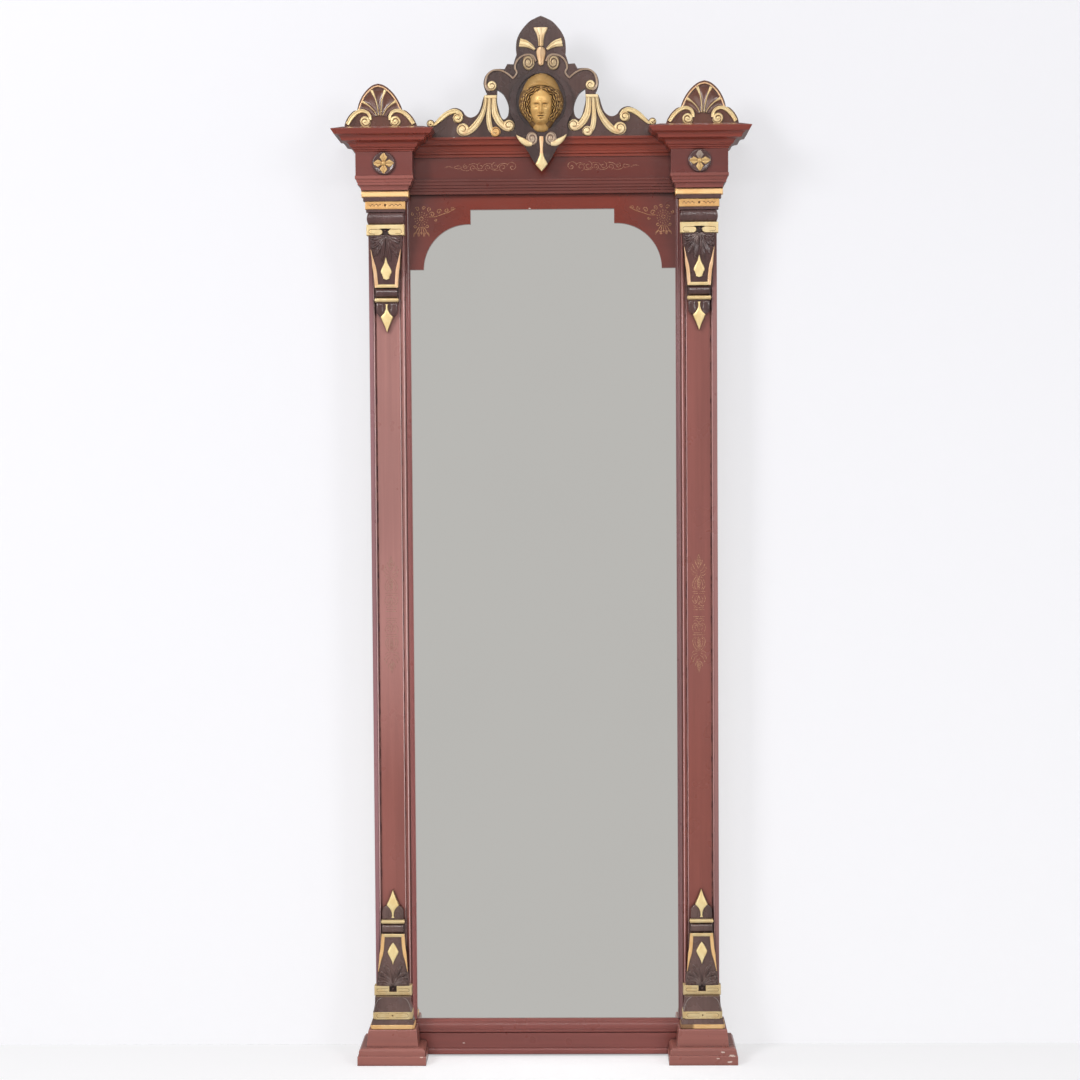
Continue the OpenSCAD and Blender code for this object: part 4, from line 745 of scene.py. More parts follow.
def head_panel(x, z):
    """A wavy line on each side of a small drilled hole."""
    wave = np.abs(z - head_panel_z - 2.2 * np.sin(x * 0.62)) / 1.4
    wave = np.where((np.abs(x) > 10) & (np.abs(x) < 42), wave, 9)
    return cut_line(wave, 1.0, 0.9) + cut_line(np.hypot(x, z - head_panel_z), 4.0, 2.2)


def drop(points, z, way, rise, base, form):
    """Leaf on an upright middle line. Points are (half width, way along)."""
    outline = smooth_path(points, 46)
    path = np.column_stack([np.zeros(46), z + way * outline[:, 1]])
    return strand(path, np.maximum(outline[:, 0], 0.15), rise, base, form)


def pillow(s):
    """Flat band with rounded edges."""
    return hump(s, 3.2, 0.5)


def border(wide, tip):
    """Side strips that widen towards the narrow end, with a bevel along the outside."""
    way = 1 if wide > tip else -1
    flare = [(corbel_tip - 4.8, 1), (corbel_tip - 1.6, 40), (corbel_tip + 3.4, 68), (corbel_tip + 8.0, 97)]
    half = np.interp(np.linspace(0, 1, 60), [0, 0.55, 0.72, 1], [5.0, 5.0, 2.8, 0.7])
    return [strand(smooth_path(flare, 60) * (s, way) + (0, tip), half, 2.8, 0.0,
                   lambda t: np.clip(1.25 - 0.35 * np.abs(t + s * way * 0.4) - np.abs(t) ** 7, 0, 1.1))
            for s in (1, -1)]


def cross_bar(wide, tip):
    """The bar across the narrow end."""
    way = 1 if wide > tip else -1
    bar = np.linspace((-corbel_tip, tip + way * 4.6), (corbel_tip, tip + way * 4.6), 30)
    return [strand(bar, 4.6, 3.0, 0.0, pillow)]


tear = [(0.5, 34), (2.5, 27), (4.5, 20), (8, 13), (12, 6), (14.4, -1), (13.6, -5.5), (11.4, -7.8),
        (10.7, -11), (8.8, -15), (8, -19), (0.5, -22)]
kite = [(0.3, 24), (6.5, 16), (12.5, 5), (14.4, -1), (11, -9), (6.5, -17), (2.2, -26), (0.3, -32)]
spear = [(4.6, 4.6), (2.9, 8), (2.7, 12.2), (4.0, 20.5), (8.3, 28.5), (15.8, 36.5), (15.4, 40),
         (7.2, 57.8), (0.3, 76)]


def small_fillet(z0, z1):
    path = np.linspace((-corbel_tip - 1, (z0 + z1) / 2), (corbel_tip + 1, (z0 + z1) / 2), 40)
    return strand(path, (z1 - z0) / 2 * tips(40, 0.04, 0.04), 11.0, strip_w, pillow, dip=0.0)


def spearhead(z, way):
    """The head lies on the lobed leaf, and its point runs on past it over the pilaster."""
    outline = smooth_path(spear, 70)
    path = np.column_stack([np.zeros(70), z + way * outline[:, 1]])
    lift = 74.0 - 5.0 * np.clip((outline[:, 1] - 30) / 46, 0, 1) ** 1.5
    return strand(path, outline[:, 0], np.maximum(4.0 - outline[:, 1] * 0.02, 1.0), lift,
                  lambda s: hump(s, 2.6, 0.6), dip=13.0)


def canted(half, front, z0, z1, cant, relief=None, rows=200, columns=30):
    """Fillet that returns round three sides with canted corners. Rows run round the outline in
    plan, and columns go up it."""
    corners = np.array([(-half, strip_w), (-half, front - cant), (-half + cant, front),
                        (half - cant, front), (half, front - cant), (half, strip_w)])
    run = np.r_[0, np.cumsum(np.linalg.norm(np.diff(corners, axis=0), axis=1))]
    share = np.sort(np.r_[np.linspace(0, run[-1], rows), run[1:-1]])
    plan = np.column_stack([np.interp(share, run, corners[:, n]) for n in (0, 1)])
    z = np.linspace(z0, z1, columns)[None]
    near = np.minimum(z - z0, z1 - z)
    fall = 1.6 * (1 - np.sqrt(1 - np.clip(1 - near / 1.6, 0, 1) ** 2))
    x, w = plan[:, :1], plan[:, 1:]
    flat = w > front - 0.01
    extra = relief(x, z) * flat if relief else np.zeros((len(plan), columns))
    shrink = 1 - fall / half
    grid = np.stack([x * shrink, w - fall * (w > strip_w + 1) + extra, z + 0 * x], axis=2)
    inner = np.column_stack([plan[:, 0] * 0.6, np.full(len(plan), strip_w), np.full(len(plan), z1)])
    lower = inner * (1, 1, 0) + (0, 0, z0)
    ring = np.concatenate([grid, inner[:, None], lower[:, None]], axis=1)
    deep = np.hstack([np.clip(-extra / 0.9, 0, 1) + 0 * z, np.zeros((len(plan), 2))])
    return ring, deep


# For each bracket: height of its fret block, cut in it, other fillets, where the spearhead starts
# and which way it points, and the outline and height of the drop on its face
brackets = {}
for name, wide, tip, block_h, cuts, others, neck, way, outline, drop_z in (
        ("head", head_wide, head_tip, 27, head_fret, [], 1963.0, -1, tear, 42.6),
        ("foot", foot_wide, foot_tip, -25, foot_fret,
         [canted(51.0, 114.0, foot_panel_z - 10, foot_panel_z + 10, 7, foot_panel)],
         363.5, 1, kite, -46.5)):
    brackets[name] = {
        "gilding": [plate(-fret_half, fret_half, *sorted((wide, wide + block_h)), strip_w, fret_face,
                          cuts, 60, 170),
                    small_fillet(*sorted((neck, neck - way * 12)))] + others
        + on_corbel(cross_bar(wide, tip), wide, tip),
        "drops": on_corbel([drop(outline, tip + drop_z, 1, 4.0, 0.0, pillow)], wide, tip)
        + [spearhead(neck, way)],
        "fillet": [],
        "border": on_corbel(border(wide, tip), wide, tip)}
brackets["head"]["fillet"] = [plate(-60.5, 60.5, *head_fillet, strip_w, 96.0, soft=3.0, columns=18)]
grid, deep = canted(57.0, 120.0, *foot_fillet, 6)
bare = np.clip((-16 - grid[..., 0]) / 14, 0, 0.85)     # gold lost on the side of the glass
finishes = {"gilding": gilt, "drops": pale_gilt, "fillet": warm_gilt}
for side, put, shell in (("left", flipped, (grid, deep)),
                         ("right", list, (grid, np.maximum(deep, bare)))):
    brackets["foot"]["fillet"] = [shell]
    for name, border_gilt in (("head", pink_gilt), ("foot", warm_gilt)):
        for part, shells in brackets[name].items():
            node = name + "_" + part + "_" + side
            carved = part == "gilding"
            piece(node + ("_carved" if carved else ""), put(shifted(shells, axis, 0)),
                  finishes.get(part, border_gilt), [node] if carved else ())
    panel = plate(-51.5, 51.5, 2199.5, 2220, strip_w, 90.0, head_panel)
    piece("head_panel_" + side, put(shifted([panel], axis, 0)), orange_gilt)


# ---- Caps ----
# Bed moulding, block and crown, mitred at the corners and scribed round the pilaster. The crown's
# wide cyma is the reddest wood on the mirror.

crown = red_wood("red_wood_crown", "x", (0.224, 0.035, 0.020), 0.1)
# The right cap's bed moulding and block are darker than the left's: painted shade, with the light from the
# left
for side, bed, block in (("_left", (0.276, 0.079, 0.062), (0.162, 0.032, 0.024)),
                         ("_right", (0.205, 0.052, 0.040), (0.128, 0.022, 0.016))):
    dress(red_wood("red_wood_bed" + side, "x", bed, 0.1), "bed_moulding" + side)
    dress(red_wood("red_wood_block" + side, "x", block, 0.15), "cap_block" + side)
    dress(crown, "cap_crown" + side)


# ---- Rosettes ----
# A turned ebonised disc with a dished face, and on it a gilt flower of four pointed petals, each
# with a cut vein, round a small oval boss. One petal on the right has lost its gold.

rosette_z, rosette_face = 2312.0, 122.5


def turned(x, z, r, base, profile, count=64):
    """Turned form: rings about an axis that points out of the wall. The profile gives height
    over the base for each share of the radius."""
    a = np.linspace(0, 2 * math.pi, count, endpoint=False)[None]
    share, height = np.array(profile).T[..., None]
    grid = np.stack(np.broadcast_arrays(x + r * share * np.cos(a), base + height,
                                        z + r * share * np.sin(a)), axis=2)
    return grid, np.zeros(grid.shape[:2])


disc_profile = [(0.02, 5.2), (0.3, 5.2), (0.6, 5.5), (0.8, 6.2), (0.86, 7.0), (0.93, 7.2),
                (0.98, 6.6), (1.0, 5.6), (1.0, 0.0), (0.02, 0.0)]


def veined(s):
    """Petal with raised edges, a hollow between, and a thin vein along the middle."""
    return hump(s, 3.5, 0.6) * (0.46 + 0.54 * s ** 2) + 0.40 * np.exp(-(s / 0.1) ** 2)


out = np.linspace(3.0, 28.0, 40)
petal_half = np.interp(out, [3, 6, 13.6, 15.2, 19, 28], [2.4, 4.8, 9.8, 10.2, 7.4, 0.3])
petal_lift = 1.8 + 2.0 * np.sin(np.linspace(0, 1, 40) * math.pi)
petals = [strand(np.column_stack([math.cos(a) * out, math.sin(a) * out]), petal_half, petal_lift,
                 rosette_face - 1.2, veined, 21) for a in np.radians([0, 90, 180, 270])]
boss = turned(0, 0, 6.4, rosette_face, [(0.02, 4.6), (0.4, 4.2), (0.75, 2.8), (1.0, 0.4),
                                        (1.0, -0.4), (0.02, -0.4)], 32)
dull_gilt = gold_leaf("dull_gold_leaf", (0.68, 0.46, 0.20), (0.14, 0.06, 0.03, 1), 0.9)
for side, name, leafed in ((-1, "left", petals), (1, "right", [petals[n] for n in (0, 2, 3)])):
    piece("rosette_disc_" + name + "_turned",
          [turned(side * axis, rosette_z, 28.5, 115.5, disc_profile)], ebonised,
          ["rosette_disc_" + name])
    piece("rosette_flower_" + name + "_carved", shifted(leafed + [boss], side * axis, rosette_z),
          dull_gilt, ["rosette_flower_" + name])
piece("rosette_petal_right_bare", shifted([petals[1]], axis, rosette_z),
      gold_leaf("bare_petal", (0.36, 0.29, 0.25), (0.10, 0.06, 0.045, 1)))


# ---- Leaf fans on the caps ----
# Sawn ebonised boards with scooped lobes between four gilt ribs, a gilt rim along the arch, and
# gilt arms that roll up into scrolls. They lean outwards a little, and stand on dowels.

fan_x, fan_z, fan_face, fan_lean, fan_h = 409.0, 2402.0, 102.0, 6.0, 114.0
fan_wood = black_wood("ebonised_fan", (0.108, 0.036, 0.021), 0.06, 0.4)
for side in ("_left", "_right"):
    dress(fan_wood, "leaf_fan" + side)

# Curves from the root of the fan to its rim: foot of the arch, outer rib, inner rib
fan_rays = [[(15, 30), (25, 40), (37, 46), (51, 49)], [(7.5, 33), (16, 47), (28, 59), (43, 69)],
            [(2.6, 33), (4.5, 52), (8.5, 74), (17.5, 97)]]


def scooped(first, second, base, rise):
    """Lobe between two ribs: the point goes evenly from one curve to the other, and its height
    is that of the ribs less a scoop that is deepest half way and dies out at the rim."""
    a, b = smooth_path(first, 40), smooth_path(second, 40)
    u = np.linspace(0, 1, 21)[None, :, None]
    flat = a[:, None] * (1 - u) + b[:, None] * u
    along_v = np.linspace(0, 1, 40)[:, None]
    scoop = 1 - np.sin(math.pi * u[..., 0]) ** 0.8 * np.sin(math.pi * along_v ** 0.8) ** 0.35
    w = base + 0.4 + (rise - 0.4) * scoop
    grid = np.stack([flat[..., 0], w, flat[..., 1]], axis=2)
    ends = np.stack([grid[:, -1], grid[:, 0]], axis=1) * (1, 0, 1) + (0, base - 0.5, 0)
    return np.concatenate([grid, ends], axis=1), np.zeros((40, 23))


def band(points, halves, rise, base, form, columns=21, count=110):
    """Member along a smooth path, whose half width goes through the listed values in turn."""
    half = np.interp(np.linspace(0, 1, count), np.linspace(0, 1, len(halves)), halves)
    return strand(smooth_path(points, count), half, rise, base, form, columns)


def lipped(s):
    """Band with a raised lip along both edges."""
    return hump(s, 5, 0.5) * (1 - 0.28 * np.exp(-(s / 0.42) ** 2))


def wound_disc(x, z, rx, rz, base, turns=1.7, way=1, rise=6.0, open_at=-90):
    """Boss wound like a scroll: a dome with a groove on the spiral where the share of the radius
    falls evenly with the angle, and a raised eye in the middle."""
    a = np.linspace(0, 2 * math.pi, 80, endpoint=False)[None]
    r = np.linspace(0.02, 1, 52)[:, None]
    phase = (r * turns + way * (a - math.radians(open_at)) / (2 * math.pi)) % 1 - 0.5
    groove = np.exp(-(phase / (0.09 * turns)) ** 2) * np.clip((r - 0.27) * 14, 0, 1)
    w = (base + rise * np.sqrt(np.clip(1 - r ** 8, 0, 1)) - 1.9 * groove * (r < 0.97)
         + 1.3 * np.sqrt(np.clip(1 - (r / 0.3) ** 2, 0, 1)))
    grid = np.stack(np.broadcast_arrays(x + rx * r * np.cos(a), w, z + rz * r * np.sin(a)), axis=2)
    back = np.stack([grid[-1], grid[0]], axis=0) * (1, 0, 1) + (0, base - 0.5, 0)
    deep = np.vstack([np.clip(groove * 1.1, 0, 1), np.ones((2, 80))])
    return np.concatenate([grid, back], axis=0), deep


def leaning(shells):
    """Pushes each point outwards in step with its height."""
    return [(grid + grid[..., 2:] * (fan_lean / fan_h, 0, 0), deep) for grid, deep in shells]


lobes = [scooped(fan_rays[n], fan_rays[n + 1], fan_face, 3.4) for n in (0, 1)]
lobes += flipped(lobes) + [scooped(fan_rays[2], np.array(fan_rays[2]) * (-1, 1), fan_face, 3.4)]
fan_edge = [band([(0, 107.5), (12, 104), (22.5, 96.5), (32, 87), (39.5, 76.5), (46, 64.5), (50.3, 54),
                  (53.5, 47)], [2.2, 2.2], 4.2, fan_face, pillow)]
fan_ribs = [band(ray, [1.4, 1.5, 2.0, 5.0], 4.6, fan_face, rounded) for ray in fan_rays[1:]]
fan_arms = [band([(84.5, 11), (73, 28), (60, 40), (46, 45), (33, 41.5), (26, 32), (25, 21)],
                 [5.0, 5.6, 5.4, 4.6, 4.0], 4.8, fan_face, lipped),
            wound_disc(38, 18, 14, 14, fan_face, 1.6, 1, open_at=160)]
for put, name in ((flipped, "left"), (list, "right")):
    for part, shells, finish, slot, solid in (
            ("lobes_" + name, lobes, fan_wood, "ebonised_wood", ()),
            ("rim_" + name, mirrored(fan_edge), pink_gilt, "gilt", ()),
            ("gilding_" + name + "_carved", mirrored(fan_ribs + fan_arms), gilt, "gilt",
             ["fan_gilding_" + name])):
        piece("fan_" + part, put(shifted(leaning(shells), fan_x, fan_z)), finish, solid)


# ---- Crest: board and shield ----
# A fretted board on dowels, and a shield in front of it with an oval sinking for the mask. Both
# are ebonised, and rubbed grey-brown where they have been dusted.

dress(black_wood("ebonised_crest", (0.068, 0.032, 0.026), 0.12, 0.35), "crest_board")
# The shield is a darker copy of the board's finish: painted shade round the mask
dress(black_wood("ebonised_shield", (0.050, 0.024, 0.021), 0.12, 0.2), "crest_shield")


# ---- Crest: gilt carving ----
# Thin rim with rolled ends, triple drapes that hang from a bar, end scrolls, palmette and pendant.
# Lemon gold, paler and pinker where the rim and the discs are rubbed.

crest_z, crest_face, shield_face = 2381.0, 86.0, 98.0
rubbed_gilt = gold_leaf("rubbed_gold_leaf", (0.47, 0.355, 0.265), (0.16, 0.09, 0.07, 1), 0.85,
                        (0.50, 0.30, 0.24, 1))
tan_gilt = gold_leaf("tan_gold_leaf", (0.46, 0.34, 0.20), (0.08, 0.045, 0.03, 1), 0.6)
drape_gilt = gold_leaf("lemon_gold_leaf", (0.83, 0.66, 0.385), rub=0.4)
palmette_gilt = gold_leaf("palmette_gold_leaf", (0.74, 0.57, 0.345), rub=0.6)
bud_gilt = gold_leaf("bud_gold_leaf", (0.52, 0.35, 0.20), rub=0.8)


def reeded(s):
    """Band with two cut lines along it."""
    return hump(s, 5, 0.5) - 0.38 * np.exp(-((np.abs(s) - 0.46) / 0.07) ** 2)


def plump(s):
    """Round member with a shallow cut on each side of its middle."""
    return rounded(s) - 0.12 * np.exp(-((np.abs(s) - 0.4) / 0.1) ** 2)


# Each is drawn on the right, from the middle of the crest board's foot
rim = [band([(12.5, 190), (20, 203.5), (34, 207), (50, 202), (62, 190), (66.5, 174), (62, 161),
             (71, 147)], [2.3, 2.3], 4.6, crest_face, lipped),
       band([(71, 147), (87, 160), (105, 168), (124, 167), (138, 154), (142, 134), (138.5, 122),
             (130, 116.5)], [2.3, 2.4, 3.2], 4.8, crest_face, lipped, count=130)]
rim_scroll = [wound_disc(32, 187, 16.0, 20.5, crest_face, 2.4, 1)]
pendant_scroll = [wound_disc(24, -7, 14.5, 17.5, shield_face, 2.2, -1, rise=5.4)]
drapes = [band([(141.5, 100), (142, 92), (144.5, 75), (150, 58), (160, 40), (173.5, 23.5), (188, 12.5),
                (200, 9.2)], [4.5, 4.8, 5.6, 6.8, 8.2, 9.0, 8.4, 6.4], 5.4, crest_face, reeded, 31, 130),
          wound_disc(200.5, 18.8, 16.2, 16.2, crest_face, 1.7, 1),
          band([(120, 100), (120.5, 92), (120, 75), (117.5, 58), (110, 42), (100, 29.5), (90, 21),
                (80, 18)], [6.0, 6.6, 7.6, 8.8, 9.4, 9.0, 7.6, 5.6], 5.4, crest_face, reeded, 31, 130),
          wound_disc(82.8, 28, 15, 15, crest_face, 1.6, -1),
          wound_disc(126, 129, 12.5, 12.5, crest_face, 1.5, -1, 6.6, 60),
          plate(113, 145, 97, 105, crest_face - 1, crest_face + 6, columns=14, rows=40)]
middle_drape = [band([(132, 100), (132.6, 92), (133.5, 75), (134.3, 56), (133.5, 38), (129.5, 20),
                      (119, 6.5)], [4.4, 4.8, 5.4, 6.2, 6.8, 6.8, 5.6], 4.6, crest_face, reeded, 31, 130)]
middle_disc = [wound_disc(117.2, 12.5, 13, 13, crest_face, 1.5, -1)]
ends = [band([(277, 30), (269, 35), (259, 44.5), (245, 56.5), (232, 63.5), (219, 65.5), (208, 60),
              (203, 51)], [3.0, 4.6, 6.0, 6.6, 6.6, 6.2, 5.6, 4.6], 5.2, crest_face, lipped),
        wound_disc(213, 48, 13, 13, crest_face, 1.6, 1),
        wound_disc(283, 35, 8.5, 8.5, crest_face, 1.2, -1)]
side_leaf = [band([(15, 219), (26, 228), (39, 234.5), (54, 237.5)], [3.0, 6.4, 9.6, 11.4], 5.0,
                  crest_face, reeded, 31)]
crescent = [band([(64.5, 2.5), (57, -5), (47, -13), (36, -19), (24, -21)], [0.4, 5.0, 7.8, 8.0, 5.6],
                 5.0, shield_face, pillow)]
blade = [drop([(6.6, 228), (7.4, 242), (10.5, 256), (16.4, 268), (18.4, 275)], 0, 1, 5.4, crest_face,
              reeded)]
bud = [drop([(0.4, 178), (7.0, 182), (8.6, 190), (11.6, 203), (12.8, 213), (10.6, 221), (5.4, 225.4),
             (0.4, 226.5)], 0, 1, 6.2, crest_face, plump)]
stem = [drop([(5.6, -2), (5.9, -10), (4.4, -26), (4.2, -40), (5.5, -47)], 0, 1, 5.0, shield_face, pillow)]
point = [drop([(4.2, -44), (8.0, -56), (15.4, -71), (14.8, -74), (7.0, -83), (0.4, -90)], 0, 1, 5.4,
              shield_face, pillow)]
for name, shells, finish, solid in (
        ("rim_carved", mirrored(rim), rubbed_gilt, ["crest_rim"]),
        ("rim_scrolls", mirrored(rim_scroll), tan_gilt, ()),
        ("drapes_carved", mirrored(drapes), drape_gilt, ["crest_drapes"]),
        ("end_scrolls_carved", mirrored(ends), gilt, ["crest_end_scrolls"]),
        ("side_leaves", mirrored(side_leaf), drape_gilt, ()),
        ("pendant_scrolls", mirrored(pendant_scroll), rubbed_gilt, ()),
        ("pendant_leaves", mirrored(crescent), drape_gilt, ()),
        ("palmette_carved", blade, palmette_gilt, ["crest_palmette"]), ("bud", bud, bud_gilt, ()),
        ("pendant_stem", stem, pink_gilt, ()), ("pendant_carved", point, gilt, ["crest_pendant"]),
        ("drape_middle_right", middle_drape + middle_disc, drape_gilt, ()),
        ("drape_middle_left", flipped(middle_drape), drape_gilt, ()),
        ("drape_disc_left", flipped(middle_disc), orange_gilt, ())):
    piece("crest_" + name, shifted(shells, 0, crest_z), finish, solid)


# ---- Crest: mask ----
# A capped head in high relief, carved in the round to just past the ears and planted in the
# sinking. Antique gold, with painted shade in its hollows and creases and painted highlights on
# its ridges. The face is a plain classical one.

# Its pale ground colour shows on the ridges, where it stands for a painted highlight
antique = gold_leaf("antique_gold", (0.74, 0.46, 0.165), (0.085, 0.035, 0.012, 1), 0.5,
                    (0.95, 0.72, 0.34, 1))
mask_mid, sink = 2464.0, 94.0                          # middle of the head, floor of the sinking
brow_z, eye_z, nose_z, mouth_z, chin_z = -5.0, -11.5, -30.0, -38.5, -52.0
head_outline = [(0, 75), (17, 71.5), (31, 63), (41, 49), (47, 35), (54, 20), (57, 5), (56, -11),
                (51, -25), (43, -36), (34, -46), (28, -56), (20, -67), (11, -73.5), (0, -75)]


def bells(side, z, rows):
    """Sum of smooth bumps: each row has height, place to the side, place in z and two radii."""
    return sum(rise * np.exp(-((side - cx) / rx) ** 2 - ((z - cz) / rz) ** 2)
               for rise, cx, cz, rx, rz in rows)


def mouth_line(x, z, half, thick):
    """The line between the lips, a little higher at its corners."""
    return np.exp(-(x / half) ** 4 - ((z - mouth_z - 0.008 * x * x) / thick) ** 2)


def face_relief(x, z):
    """Face by the usual thirds: its half width and its middle line go through the listed places
    down the face, and bells add the features. Also returns the painted shade in its creases: the
    lids, under the eyes, the inner corners of the eyes, beside the nose, the nostrils, the mouth and
    under the lower lip."""
    side = np.abs(x)
    levels = [-60, -57, -54, -49, -42, -33, -20, -5, 10, 24, 34]
    width = np.interp(z, levels, [5, 11, 15.5, 20, 25, 29, 32, 33, 31.5, 27, 20])
    middle = np.interp(z, levels, [0, 27, 38, 42, 43, 44, 45.5, 46, 45, 41, 34])
    face = middle * hump(side / width, 2.3, 0.55)
    ridge = np.clip((brow_z + 2 - z) / (brow_z + 2 - nose_z), 0, 1) * (z > nose_z - 4)
    nose = (4.2 + 6.8 * ridge) * np.exp(-(x / (3.0 + 1.5 * ridge)) ** 2) / (
        1 + np.exp((z - brow_z - 1) / 1.8)) / (1 + np.exp((nose_z - 2.2 - z) / 0.8))
    eyes = bells(side, z, [(2.6, 11, brow_z + 1.2, 10, 2.8), (-6.4, 11.4, eye_z, 7.4, 4.6),
                           (5.4, 11.8, eye_z - 0.3, 5.2, 2.9), (-1.6, 11.8, eye_z + 3.0, 6.4, 0.8),
                           (1.3, 11.8, eye_z + 1.6, 6.0, 0.8), (-1.2, 11.8, eye_z - 0.6, 5.0, 0.6),
                           (-1.0, 11.8, eye_z - 3.4, 5.4, 0.8)])
    cheeks = bells(side, z, [(2.4, 19, -22, 8, 7), (-2.4, 17.5, -37, 5.5, 8), (-2.2, 10, -34, 3.2, 8),
                             (1.5, 0, 8, 18, 8)])
    nostrils = bells(side, z, [(3.0, 0, nose_z + 0.8, 3.6, 3.0), (2.8, 5.2, nose_z + 0.2, 2.1, 2.3),
                               (-1.8, 2.7, nose_z - 2.4, 1.4, 1.0)])
    lips = bells(side, z, [(3.0, 2.4, mouth_z + 1.9, 5.8, 1.6), (3.6, 0, mouth_z - 2.4, 6.0, 2.0),
                           (-2.4, 0, mouth_z - 6.4, 6.4, 1.9), (-1.2, 0, mouth_z + 5, 1.4, 2.6),
                           (4.6, 0, chin_z + 2.5, 8.0, 4.6)]) - 3.0 * mouth_line(x, z, 8.8, 0.8)
    features = eyes + cheeks + nose + nostrils + lips
    # Painted shade in the creases of the face
    cuts = bells(side, z, [(0.75, 11.6, eye_z + 3.4, 7.0, 1.0), (0.4, 11.6, eye_z - 3.6, 6.0, 0.9),
                           (0.45, 4.8, eye_z + 0.5, 2.0, 3.6), (0.6, 2.8, nose_z - 2.6, 1.8, 1.1),
                           (0.45, 0, mouth_z - 6.6, 6.0, 1.4), (0.35, 7.6, nose_z + 1, 1.2, 3.4)])
    return (np.where(face > 1, face + features * np.clip(face / 20, 0, 1), 0),
            cuts + 0.8 * mouth_line(x, z, 8.6, 0.9))


def hair_relief(x, z, brim_z):
    """Wavy locks that part in the middle and flow outwards, with bunched curls at the sides.
    Returns the hair's height, how high its curls stand in it, and where it grows."""
    side = np.abs(x)
    rng = np.random.default_rng(7)
    round_face = np.hypot(x / 30, (z + 15) / 35)
    angle = np.arctan2(z + 15, side)
    flow = 34 * (round_face - 0.9) + 1.9 * np.sin(7 * angle) + 1.3 * np.sin(13 * angle + 5 * round_face)
    locks = np.sqrt(0.5 + 0.5 * np.cos(flow)) * (0.78 + 0.22 * np.cos(17 * angle + 0.7 * flow))
    coils = np.zeros_like(x)
    for reach, size, number in ((1.34, 5.0, 22), (1.54, 5.8, 22), (1.76, 6.2, 23)):
        for a in np.radians(np.linspace(-36, 216, number)):
            cx, cz = 30 * reach * math.cos(a), -15 + 33 * reach * math.sin(a)
            cx, cz = cx + rng.uniform(-2.0, 2.0), cz + rng.uniform(-2.0, 2.0)
            d = np.hypot(x - cx, z - cz) / (size * rng.uniform(0.8, 1.15))
            turn = np.arctan2(z - cz, x - cx) * (1 if cx > 0 else -1)
            coil = 0.72 + 0.28 * np.cos(2 * math.pi * (d * 1.25) - turn)
            coils = np.maximum(coils, hump(d, 2, 0.5) * coil)
    outer = np.clip((round_face - 1.25) * 3, 0, 1)
    curls = locks * (1 - 0.55 * outer) + 0.70 * coils * outer
    zone = (np.clip((round_face - 0.93 + 0.05 * locks) * 16, 0, 1) * (z < brim_z)
            * np.clip((z + 50) / 5, 0, 1))
    mass = 24 * hump(x / 66, 2, 0.5) + bells(side, z, [(13, 10, 26, 20, 11), (4, 45, -4, 12, 22)])
    return (mass + 7.0 * curls) * zone, curls, zone


def cap_relief(x, z, brim_z):
    """Round cap with a rolled brim and a cord above it."""
    cap = 41 * np.sqrt(np.clip(1 - (x / 49) ** 2 - ((z - 20) / 56) ** 2, 0, 1)) * (z > brim_z - 4)
    brim = 4.6 * np.exp(-((z - brim_z) / 2.2) ** 2) + 3.0 * np.exp(-((z - brim_z - 5.4) / 1.6) ** 2)
    return np.where(cap > 0, cap + brim, 0)


def mask_shell():
    """Head as a height over x and z, the largest of the skull, neck, cap, hair and face. The
    points lie on rings that close in from the outline, and a ring's share of the outline is a
    sine, so that the rings crowd at the steep rim."""
    right = smooth_path(head_outline, 170)
    outline = np.vstack([right, (right * (-1, 1))[-2:0:-1]])
    mid = np.array((0.0, -2.0))
    share = np.sin(np.linspace(0.004, 1, 190) * math.pi / 2)[:, None]
    flat = mid + (outline - mid)[None] * share[..., None]
    x, z = flat[..., 0] - 0.02 * flat[..., 1], flat[..., 1]        # the head tilts a little
    brim_z = 43 - 0.0058 * x * x
    face, cuts = face_relief(x, z)
    hair, curls, zone = hair_relief(x, z, brim_z)
    skull = 22 * hump(share, 3, 0.5)
    neck = (21 - 0.030 * x * x) * (z < -40) * (np.abs(x) < 19)
    rim = hump(share, 6, 0.5)
    height = np.maximum.reduce([skull + 0 * x, face, neck, cap_relief(x, z, brim_z), hair]) * rim
    # Darkness for the gold, painted shade throughout: between the curls of the hair, growing from the
    # middle of the face out to the cap and edges, along the outline, in the creases of the face, and on
    # the bare skull beside the neck, where it stands for a shadow
    deep = np.where(zone > 0.9, 0.85 - curls, 0) * (height <= hair * rim + 0.01)
    deep += 0.62 - bells(x, z, [(0.46, 0, -14, 40, 46)]) + 0.5 * (share > 0.985)
    deep += cuts * (face > 1) * (zone < 0.5) + 0.75 * (height <= skull * rim + 0.01) * (z < -36)
    grid = np.stack([flat[..., 0], sink + np.maximum(height, 0.3), z], axis=2)
    ends = [grid[n:n + 1] * (1, 0, 1) + (0, sink - 0.3, 0) for n in (len(grid) - 1, 0)]
    return np.concatenate([grid, *ends]), np.vstack([np.clip(deep, 0, 1), np.ones((2, deep.shape[1]))])


piece("crest_mask_carved", shifted([mask_shell()], 0, mask_mid), antique, ["crest_mask"], 60)


# ---- Stage ----
# A pale floor and a white wall close behind, soft lamps high at the front left, right and middle,
# and the camera where the photograph was taken from.

def sheet(name, corners, material):
    mesh = bpy.data.meshes.new(name)
    mesh.from_pydata(corners, [], [(0, 1, 2, 3)])
    mesh.materials.append(material)
    link(name, mesh)


WHITE = (1, 1, 1, 1)
FRONT_GREY = 0.513             # what the glass and the polish see of the room in front


